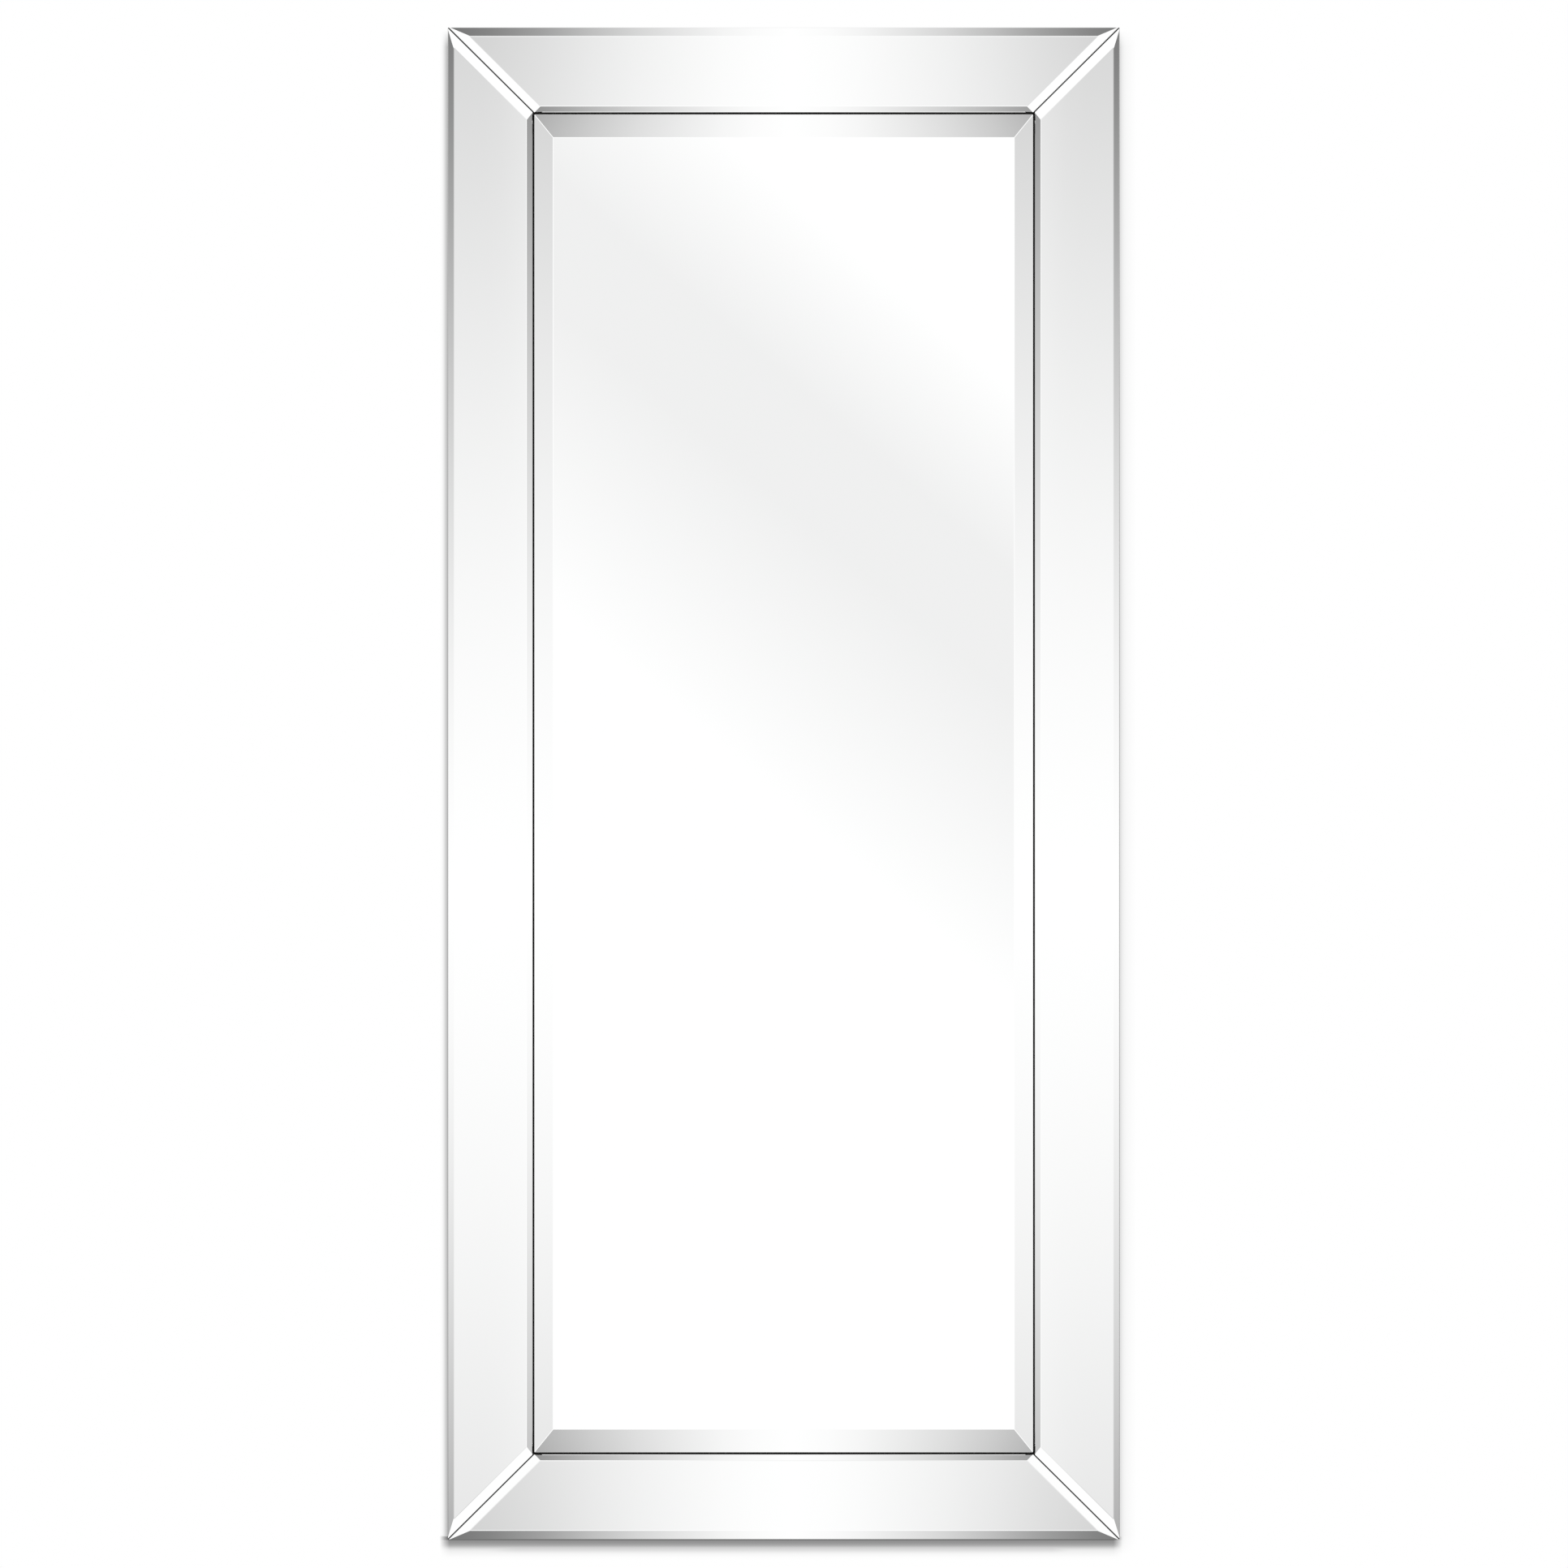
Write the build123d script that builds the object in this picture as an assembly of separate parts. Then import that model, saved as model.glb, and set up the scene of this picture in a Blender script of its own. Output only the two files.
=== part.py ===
"""Tall wall mirror: a bevelled centre mirror in a border of four bevelled, mitred mirror strips.

The strips are taped to the sloping faces of a wooden frame. The centre mirror lies on a ledge inside
that frame, held by tape and foam blocks, and a hardboard panel closes the back. Two pairs of strap
hangers with swinging D rings let the mirror hang upright or on its side.

Millimetres, +Z up, the mirror faces -Y. The wall is the plane Y = 0, and the origin lies on it, at the
middle of the mirror. A height is a distance from the back of the wooden rails towards the front, and
an inset is a distance from the frame's outer side towards its middle.
"""

from build123d import *
import os
from math import asin, cos, degrees, radians, sin, sqrt, tan

INCH = 25.4

# overall size, as seen from the front
overall_width = 24 * INCH
overall_height = 54 * INCH

# mirror strips of the border
strip_width = 76.8  # inset of the strips' inner edges
strip_slope = 5.0  # degrees by which the strips fall away towards their outer edges
strip_glass = 4.0
strip_rim = 2.0  # glass left at the rim, below the bevels
strip_setback = 0.3  # inset of the strips' outer rims
mitre_gap = 0.6  # between neighbouring strips
end_outer_bevel = 6.8  # bevels of the top and bottom strips
end_inner_bevel = 5.1
end_mitre_bevel = 7.5
side_outer_bevel = 4.9  # bevels of the left and right strips
side_inner_bevel = 5.2
side_mitre_bevel = 8.7

# centre mirror
centre_glass = 5.0
centre_rim = 2.5
centre_side_bevel = 17.0
centre_end_bevel = 20.0
centre_side_gap = 1.6  # from the strips' inner edges to the centre mirror's rim
centre_end_gap = 2.0
centre_step = 3.0  # how far the centre mirror's face lies behind the front of the strips

# wooden rails
rail_edge = 14.5  # the rail's thickness at its outer side
ledge_width = 15.6  # how far the ledge reaches inwards past the strips
ledge_thickness = 6.0
back_land = 72.0  # flat width of the rail's back, outside the rebate for the backing board
back_arris = 1.5  # chamfer along the rail's outer back edge

# foam tape and foam blocks
strip_tape = 0.8
strip_tape_width = 20.0
strip_tape_inset = 10.0  # from the strip's long edges and from its mitred ends
centre_tape = 1.0
centre_tape_width = 10.0
centre_tape_inset = 1.5  # from the centre mirror's rim
block_size = 60.0
block_columns = 2
block_rows = 4

# backing board and its screws
board_thickness = 3.0
board_clearance = 1.0
board_screw_inset = 8.0  # from the board's edge
board_screws_side = 5  # along each long edge
board_screws_end = 1  # between the corners of each short edge
board_screw_bite = 4.5  # depth in the ledge
board_screw_head = 6.4
board_screw_rise = 1.9
board_screw_shank = 3.0

# V nails that hold the mitres
nail_leg = 7.0
nail_opening = 100.0  # degrees between the legs
nail_sheet = 0.6
nail_depth = 9.0
nail_insets = (18.0, 52.0)

# strap hangers with D rings
ring_wire = 3.0
ring_inner_width = 20.0
ring_reach = 18.0  # from the hinge axis to the middle of the wire at the top of the bow
ring_corner = 3.5
ring_rest_gap = 0.3  # between the leaning ring and the rail's back
hinge_clearance = 0.08
strap_sheet = 1.1
strap_width = 15.0
strap_tail = 38.0  # from the hinge axis to the strap's rounded end
strap_end_corner = 5.0
strap_leave = 118.0  # degrees round the bar at which the upper leaf leaves it
strap_hole = 4.4
strap_hole_places = (11.5, 29.0)  # from the hinge axis
strap_screw_bite = 11.5  # depth in the rail
strap_screw_head = 7.2
strap_screw_rise = 2.3
strap_screw_shank = 3.5
upright_hinge_inset = 36.0  # of the two hangers at the left and the right
upright_hinge_height = 455.0  # above the mirror's middle
sideways_hinge_inset = 27.0  # of the two hangers on the left rail
sideways_hinge_height = 360.0  # above and below the mirror's middle

# rubber bumpers that keep the hangers clear of the wall
wall_clearance = 0.64  # between the straps and the wall
bumper_radius = 7.0
bumper_draft = 8.0  # degrees
bumper_side_inset = 22.0
bumper_end_inset = 112.0

# screw heads and pilot holes
head_draft = 28.0  # degrees by which a head's side leans in
drive_width = 0.9  # cross recess
drive_span = 0.58  # of the head's width
drive_depth = 0.55  # of the head's rise
pilot_clearance = 0.05
board_hole_clearance = 0.25

# flat sides that stand for a small round section
wire_sides = 8
head_sides = 10
shank_sides = 8
bumper_sides = 20

# places that follow from these sizes
slope = radians(strip_slope)
strip_start = (strip_setback + sin(slope) * (strip_tape + strip_rim)) / cos(slope)
strip_end = (strip_width + sin(slope) * strip_tape) / cos(slope)
ridge = strip_end - max(end_inner_bevel, side_inner_bevel)
front_height = rail_edge + sin(slope) * ridge + cos(slope) * (strip_tape + strip_glass)
centre_back = front_height - centre_step - centre_glass
ledge_front = centre_back - centre_tape
ledge_back = ledge_front - ledge_thickness
ledge_inset = strip_width + ledge_width
board_back = ledge_back - board_thickness
board_inset = back_land + board_clearance
wire = ring_wire / 2
loop_inner = wire + hinge_clearance
hinge_height = loop_inner + strap_sheet
bumper_height = 2 * hinge_height + wall_clearance
ring_lean = degrees(asin((hinge_height - wire - ring_rest_gap) / ring_reach))


def facing_front(height):
    """Plane at this height, seen from the front: X to the right, Y up."""
    return Plane(origin=(0, -bumper_height - height, 0), x_dir=(1, 0, 0), z_dir=(0, -1, 0))


def facing_back(height):
    """Plane at this height, seen from the wall: Y up."""
    return Plane(origin=(0, -bumper_height - height, 0), x_dir=(-1, 0, 0), z_dir=(0, 1, 0))


def four_corners(x, z):
    return [(-x, -z), (x, -z), (x, z), (-x, z)]


# mirrors


def bevelled_plate(corners, glass, rim, bevels):
    """Glass plate on the XY plane, ground to a bevel along each edge.

    corners run anticlockwise, and bevels holds the bevel's width for the edge after each corner.
    Each grinding plane runs from the rim, at the edge, to the face, one bevel's width inside it.
    """
    plate = extrude(make_face(Polyline(*corners, close=True)), glass)
    for index, width in enumerate(bevels):
        start = Vector(*corners[index])
        along = (Vector(*corners[(index + 1) % len(corners)]) - start).normalized()
        normal = Vector(along.Y, -along.X) * (glass - rim) + Vector(0, 0, width)
        grind = Plane(origin=start + Vector(0, 0, rim), x_dir=along, z_dir=normal)
        plate = split(plate, bisect_by=grind, keep=Keep.BOTTOM)
    return plate


def centre_mirror():
    corners = four_corners(
        overall_width / 2 - strip_width - centre_side_gap,
        overall_height / 2 - strip_width - centre_end_gap,
    )
    bevels = [centre_end_bevel, centre_side_bevel] * 2
    return facing_front(centre_back) * bevelled_plate(corners, centre_glass, centre_rim, bevels)


def strip_back(reach):
    """Back plane of the upper strip of a frame that reaches so far up.

    X runs along the strip, Y outwards and down the slope, and Z is the glass's normal.
    """
    normal = Vector(0, -cos(slope), sin(slope))
    foot = Vector(0, -bumper_height - rail_edge, reach)
    return Plane(origin=foot + normal * strip_tape, x_dir=(1, 0, 0), z_dir=normal)


def half_length(length, along, margin):
    """Half the strip's length, so far up the slope, less a margin square to the mitre."""
    inset = cos(slope) * along - sin(slope) * strip_tape
    return length / 2 - inset - margin * sqrt(2)


def mirror_strip(length, reach, outer, inner, mitre):
    wide = half_length(length, strip_start, mitre_gap / 2)
    narrow = half_length(length, strip_end, mitre_gap / 2)
    corners = [(-narrow, -strip_end), (narrow, -strip_end), (wide, -strip_start), (-wide, -strip_start)]
    return strip_back(reach) * bevelled_plate(corners, strip_glass, strip_rim, [inner, mitre, outer, mitre])


def strip_tape_runs(length, reach):
    """Two runs of foam tape under one strip, along its edges."""
    runs = []
    near = strip_start + strip_tape_inset
    far = strip_end - strip_tape_inset - strip_tape_width
    for along in (near, far):
        half = half_length(length, along + strip_tape_width, strip_tape_inset)
        middle = Pos(0, -along - strip_tape_width / 2, -strip_tape / 2)
        runs.append(strip_back(reach) * middle * Box(2 * half, strip_tape_width, strip_tape))
    return runs


# wooden frame


def rail(length, reach):
    """Upper rail: its profile along the whole side, cut back to its two mitres."""
    profile = Polyline(
        (0, back_arris),
        (back_arris, 0),
        (back_land, 0),
        (back_land, ledge_back),
        (ledge_inset, ledge_back),
        (ledge_inset, ledge_front),
        (strip_width, ledge_front),
        (strip_width, rail_edge + strip_width * tan(slope)),
        (0, rail_edge),
        close=True,
    )
    across = Plane(origin=(0, -bumper_height, reach), x_dir=(0, 0, -1), z_dir=(-1, 0, 0))
    bar = extrude(across * make_face(profile), length / 2, both=True)
    inner_half = length / 2 - ledge_inset
    outline = Polyline(
        (-length / 2, reach),
        (-inner_half, reach - ledge_inset),
        (inner_half, reach - ledge_inset),
        (length / 2, reach),
        close=True,
    )
    return bar & extrude(facing_front(0) * make_face(outline), front_height)


def mitre_nails():
    """V nails across the mitres, flush with the rails' backs, their points towards the corners."""
    half_opening = radians(nail_opening / 2)
    point = nail_sheet / 2 / sin(half_opening)
    leg = Vector(-cos(half_opening), sin(half_opening)) * nail_leg
    side = Vector(sin(half_opening), cos(half_opening)) * (nail_sheet / 2)
    half = make_face(Polyline((point, 0), leg + side, leg - side, (-point, 0), close=True))
    vee = half + mirror(half, Plane.XZ)
    nails = []
    for inset in nail_insets:
        for x, z in four_corners(overall_width / 2 - inset, overall_height / 2 - inset):
            turn = Rot(0, 0, 45) if x > 0 else Rot(0, 0, 135)
            upright = turn if z > 0 else Rot(180, 0, 0) * turn
            outline = facing_front(0) * Pos(x, z) * upright * vee
            nails.append(extrude(outline, nail_depth, dir=(0, -1, 0)))
    return nails


# screws


def screw(head, rise, shank, length):
    """Wood screw. Its seat is on the XY plane, its tapered head is up and has a cross recess."""
    dome = extrude(RegularPolygon(head / 2, head_sides), rise, taper=head_draft)
    core = extrude(RegularPolygon(shank / 2, shank_sides), -length)
    arm = Box(head * drive_span, drive_width, 2 * drive_depth * rise)
    return dome + core - Pos(0, 0, rise) * (arm + Rot(0, 0, 90) * arm)


def hole(radius, sides, depth):
    """Solid of a hole down from the XY plane, with its flat sides outside the radius."""
    return extrude(RegularPolygon(radius, sides, major_radius=False), -depth)


def pilot(shank, bite):
    """Solid of the hole that a screw's shank turns in."""
    return hole(shank / 2 + pilot_clearance, shank_sides, bite + pilot_clearance)


# back


def board_screw_places():
    """Where the backing board's screws stand, seen from the wall."""
    half_x = overall_width / 2 - board_inset - board_screw_inset
    half_z = overall_height / 2 - board_inset - board_screw_inset
    places = []
    for index in range(board_screws_side):
        z = half_z * (2 * index / (board_screws_side - 1) - 1)
        places += [(-half_x, z), (half_x, z)]
    for index in range(board_screws_end):
        x = half_x * (2 * (index + 1) / (board_screws_end + 1) - 1)
        places += [(x, -half_z), (x, half_z)]
    return places


def backing_board():
    width = overall_width - 2 * board_inset
    height = overall_height - 2 * board_inset
    board = facing_back(ledge_back) * Pos(0, 0, board_thickness / 2) * Box(width, height, board_thickness)
    drilled = hole(board_screw_shank / 2 + board_hole_clearance, shank_sides, board_thickness)
    return board - [facing_back(board_back) * Pos(x, z) * drilled for x, z in board_screw_places()]


def backing_screws():
    length = board_thickness + board_screw_bite
    one = screw(board_screw_head, board_screw_rise, board_screw_shank, length)
    return [facing_back(board_back) * Pos(x, z) * one for x, z in board_screw_places()]


def backing_pilots():
    one = pilot(board_screw_shank, board_screw_bite)
    return [facing_back(ledge_back) * Pos(x, z) * one for x, z in board_screw_places()]


def centre_tapes():
    """Four runs of tape on the ledge, under the centre mirror's rim."""
    width = centre_tape_width
    half_x = overall_width / 2 - strip_width - centre_side_gap - centre_tape_inset
    half_z = overall_height / 2 - strip_width - centre_end_gap - centre_tape_inset
    level = facing_front(ledge_front) * Pos(0, 0, centre_tape / 2)
    runs = []
    for sign in (-1, 1):
        upright = Box(width, 2 * half_z, centre_tape)
        between = Box(2 * (half_x - width), width, centre_tape)
        runs.append(level * Pos(sign * (half_x - width / 2), 0) * upright)
        runs.append(level * Pos(0, sign * (half_z - width / 2)) * between)
    return runs


def foam_blocks():
    """Foam blocks between the backing board and the centre mirror."""
    thickness = centre_back - ledge_back
    level = facing_front(ledge_back) * Pos(0, 0, thickness / 2)
    step_x = (overall_width - 2 * ledge_inset) / block_columns
    step_z = (overall_height - 2 * ledge_inset) / block_rows
    blocks = []
    for column in range(block_columns):
        for row in range(block_rows):
            x = (column - (block_columns - 1) / 2) * step_x
            z = (row - (block_rows - 1) / 2) * step_z
            blocks.append(level * Pos(x, z) * Box(block_size, block_size, thickness))
    return blocks


def wall_bumpers():
    corners = four_corners(overall_width / 2 - bumper_side_inset, overall_height / 2 - bumper_end_inset)
    bumpers = []
    for x, z in corners:
        base = facing_back(0) * Pos(x, z) * RegularPolygon(bumper_radius, bumper_sides)
        bumpers.append(extrude(base, bumper_height, taper=bumper_draft))
    return bumpers


# hangers: the hinge runs along X over the origin, the ring points up, and the wall is towards +Y


def leaf_exit(radius, level):
    """Where a leaf leaves the loop of this radius, and where it meets this level.

    Both are given as distances up the strap and heights over the rail.
    """
    turn = radians(strap_leave)
    leave = Vector(radius * cos(turn), hinge_height + radius * sin(turn))
    run = (leave.Y - level) / -cos(turn)
    return leave, leave + Vector(-sin(turn), cos(turn)) * run


def strap():
    """Strip of sheet folded round the ring's bar, with its two leaves drilled and its end rounded."""
    outside = hinge_height
    outer_leave, outer_foot = leaf_exit(outside, 2 * strap_sheet)
    inner_leave, inner_foot = leaf_exit(loop_inner, strap_sheet)
    side = Plane(origin=(0, 0, 0), x_dir=(0, 0, 1), z_dir=(-1, 0, 0))
    sheet = make_face(
        [
            Line((-strap_tail, 0), (0, 0)),
            ThreePointArc((0, 0), (outside, hinge_height), outer_leave),
            *Polyline(outer_leave, outer_foot, (-strap_tail, 2 * strap_sheet), (-strap_tail, 0)).edges(),
        ]
    )
    hollow = make_face(
        [
            ThreePointArc((0, strap_sheet), (loop_inner, hinge_height), inner_leave),
            *Polyline(inner_leave, inner_foot, (0, strap_sheet)).edges(),
        ]
    )
    folded = extrude(side * (sheet - hollow), strap_width / 2, both=True)
    end_edges = folded.edges().filter_by(Axis.Y).group_by(Axis.Z)[0]
    folded = fillet(end_edges, strap_end_corner)
    drilled = hole(strap_hole / 2, head_sides, 2 * strap_sheet)
    return folded - [seat * drilled for seat in hanger_screw_seats()]


def ring():
    """D ring of round wire. It leans back until it almost touches the rail."""
    half = ring_inner_width / 2 + wire
    bar = half - ring_corner
    shoulder = ring_reach - half
    section = Rot(0, 0, 180 / wire_sides) * RegularPolygon(wire, wire_sides)
    along_bar = Plane(origin=(0, 0, 0), x_dir=(0, 0, -1), z_dir=(1, 0, 0)) * section
    up_side = Plane(origin=(half, 0, ring_corner), x_dir=(1, 0, 0), z_dir=(0, 0, 1)) * section
    at_shoulder = Pos(0, 0, shoulder - ring_corner) * up_side
    right = [
        extrude(along_bar, bar),
        revolve(Pos(bar, 0, 0) * along_bar, Axis((bar, 0, ring_corner), (0, -1, 0)), 90),
        extrude(up_side, shoulder - ring_corner),
        revolve(at_shoulder, Axis((0, 0, shoulder), (0, -1, 0)), 90),
    ]
    halves = right + [mirror(piece, Plane.YZ) for piece in right]
    bent = Solid.fuse(*halves)
    return Pos(0, hinge_height, 0) * Rot(ring_lean, 0, 0) * bent


def hanger_screw_seats():
    """Planes on the strap's upper leaf, one for each screw."""
    return [
        Plane(origin=(0, 2 * strap_sheet, -place), x_dir=(-1, 0, 0), z_dir=(0, 1, 0))
        for place in strap_hole_places
    ]


def hanger_places():
    """Where each hanger's hinge lies on the back of the frame, and how its ring points."""
    upright = overall_width / 2 - upright_hinge_inset
    sideways = overall_width / 2 - sideways_hinge_inset
    back = -bumper_height
    return {
        "left": Pos(-upright, back, upright_hinge_height),
        "right": Pos(upright, back, upright_hinge_height),
        "upper": Pos(-sideways, back, sideways_hinge_height) * Rot(0, -90, 0),
        "lower": Pos(-sideways, back, -sideways_hinge_height) * Rot(0, -90, 0),
    }


def hanger_screws():
    length = 2 * strap_sheet + strap_screw_bite
    one = screw(strap_screw_head, strap_screw_rise, strap_screw_shank, length)
    return [place * (seat * one) for place in hanger_places().values() for seat in hanger_screw_seats()]


def hanger_pilots():
    one = Pos(0, 0, -2 * strap_sheet) * pilot(strap_screw_shank, strap_screw_bite)
    return [place * (seat * one) for place in hanger_places().values() for seat in hanger_screw_seats()]


def build():
    """Every sub-part by name."""
    ends = (overall_width, overall_height / 2)
    sides = (overall_height, overall_width / 2)
    end_bevels = (end_outer_bevel, end_inner_bevel, end_mitre_bevel)
    side_bevels = (side_outer_bevel, side_inner_bevel, side_mitre_bevel)
    border = {
        "top": (0, ends, end_bevels),
        "right": (90, sides, side_bevels),
        "bottom": (180, ends, end_bevels),
        "left": (270, sides, side_bevels),
    }
    nails = mitre_nails()
    cuts = nails + backing_pilots() + hanger_pilots()
    parts = {"centre_mirror": centre_mirror()}
    tapes = []
    for name, (turn, (length, reach), bevels) in border.items():
        parts[f"mirror_strip_{name}"] = Rot(0, turn, 0) * mirror_strip(length, reach, *bevels)
        parts[f"rail_{name}"] = Rot(0, turn, 0) * rail(length, reach) - cuts
        tapes += [Rot(0, turn, 0) * run for run in strip_tape_runs(length, reach)]
    parts["strip_tapes"] = Compound(tapes)
    parts["mitre_nails"] = Compound(nails)
    parts["centre_tapes"] = Compound(centre_tapes())
    parts["foam_blocks"] = Compound(foam_blocks())
    parts["backing_board"] = backing_board()
    parts["backing_screws"] = Compound(backing_screws())
    parts["wall_bumpers"] = Compound(wall_bumpers())
    for name, place in hanger_places().items():
        parts[f"hanger_strap_{name}"] = place * strap()
        parts[f"hanger_ring_{name}"] = place * ring()
    parts["hanger_screws"] = Compound(hanger_screws())
    return parts


os.makedirs("parts", exist_ok=True)
for part_name, shape in build().items():
    export_step(shape, f"parts/{part_name}.step")
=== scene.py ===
"""Looks of a tall bevelled wall mirror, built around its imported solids.

Metres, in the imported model's frame: +Z up, the mirror faces -Y, the wall is the plane Y = 0 and the
origin lies on it, behind the middle of the mirror. The mirrors, rings, screws, bumpers and foam are
made here in full. The wooden rails, the backing board and the folded straps are copies of their
solids with softened edges, and the corner nails are the solids themselves.
"""

import logging
import math
from collections.abc import Sequence
from dataclasses import dataclass
from enum import Enum, IntEnum
from typing import Any, Union

import bmesh
import bpy
from mathutils import Matrix, Vector


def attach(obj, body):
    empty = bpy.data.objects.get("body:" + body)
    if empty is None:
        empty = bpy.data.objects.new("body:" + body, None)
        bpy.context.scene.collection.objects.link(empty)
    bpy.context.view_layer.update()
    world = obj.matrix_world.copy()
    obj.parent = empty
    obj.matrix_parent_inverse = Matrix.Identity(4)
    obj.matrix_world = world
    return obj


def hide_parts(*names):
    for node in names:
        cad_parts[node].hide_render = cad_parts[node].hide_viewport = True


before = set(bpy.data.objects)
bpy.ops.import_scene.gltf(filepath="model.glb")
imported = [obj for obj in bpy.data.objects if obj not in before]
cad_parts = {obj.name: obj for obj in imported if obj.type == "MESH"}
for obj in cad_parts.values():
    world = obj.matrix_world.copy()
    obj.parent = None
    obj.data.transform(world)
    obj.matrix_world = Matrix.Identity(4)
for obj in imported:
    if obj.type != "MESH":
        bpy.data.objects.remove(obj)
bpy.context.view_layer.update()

log = logging.getLogger("mirror")

MM = 0.001
WIDTH, HEIGHT, BUMPERS = 609.6 * MM, 1371.6 * MM, 6.0 * MM
BROAD = 30 * MM * MM
WELD = 0.002 * MM
STEPS = 255.0
GAMMA = 2.2
TURNED_SIDES, TURNED_ROWS, TURNED_RINGS = 36, 8, 5
SHANK_SIDES = 20
WIRE_SIDES = 22
TAPE_STEPS = 4
DEGREES = 180 / math.pi
Pair = tuple[float, float]
Colour = tuple[float, float, float]
Value = Union["Channel", float, Sequence[float], bool]


class Side(Enum):
    """A side of the frame, with the turn about Y that brings the top there."""

    TOP = 0
    RIGHT = 90
    BOTTOM = 180
    LEFT = 270

    @property
    def turn(self) -> Matrix:
        """Rotation that brings the top side here."""
        return Matrix.Rotation(math.radians(self.value), 4, "Y")

    @property
    def upright(self) -> bool:
        """Whether this is a long side."""
        return self in (Side.LEFT, Side.RIGHT)


class Layer(IntEnum):
    """The parts of a mirror that have a finish of their own, by material number."""

    SILVER = 0
    EDGE = 1
    BACK = 2
    ARRIS = 3


class Grain(Enum):
    """Direction of a rail's grain, as how many times denser the pattern is along X, Y and Z."""

    ACROSS = (1.0, 26.0, 26.0)
    UPRIGHT = (26.0, 26.0, 1.0)


class Channel:
    """One node's output, which takes part in Python expressions."""

    def __init__(self, nodes: "NodeTree", socket: bpy.types.NodeSocket) -> None:
        """Wraps a socket.

        Args:
            nodes: The tree that the socket is in.
            socket: An output socket.
        """
        self.nodes = nodes
        self.socket = socket

    def _math(self, operation: str, first: Value, second: Value = 0.0) -> "Channel":
        """Adds a Math node and returns its output."""
        return self.nodes.add("ShaderNodeMath", {"operation": operation}, {0: first, 1: second})

    def __add__(self, other: Value) -> "Channel":
        """Sum."""
        return self._math("ADD", self, other)

    def __radd__(self, other: Value) -> "Channel":
        """Reflected sum."""
        return self._math("ADD", other, self)

    def __sub__(self, other: Value) -> "Channel":
        """Difference."""
        return self._math("SUBTRACT", self, other)

    def __rsub__(self, other: Value) -> "Channel":
        """Reflected difference."""
        return self._math("SUBTRACT", other, self)

    def __mul__(self, other: Value) -> "Channel":
        """Product."""
        return self._math("MULTIPLY", self, other)

    def __rmul__(self, other: Value) -> "Channel":
        """Reflected product."""
        return self._math("MULTIPLY", other, self)

    def __truediv__(self, other: Value) -> "Channel":
        """Quotient."""
        return self._math("DIVIDE", self, other)

    def __pow__(self, other: Value) -> "Channel":
        """Power."""
        return self._math("POWER", self, other)

    def __abs__(self) -> "Channel":
        """Absolute value."""
        return self._math("ABSOLUTE", self)

    def at_least(self, other: Value) -> "Channel":
        """The larger of this and another value."""
        return self._math("MAXIMUM", self, other)

    def at_most(self, other: Value) -> "Channel":
        """The smaller of this and another value."""
        return self._math("MINIMUM", self, other)


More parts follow.
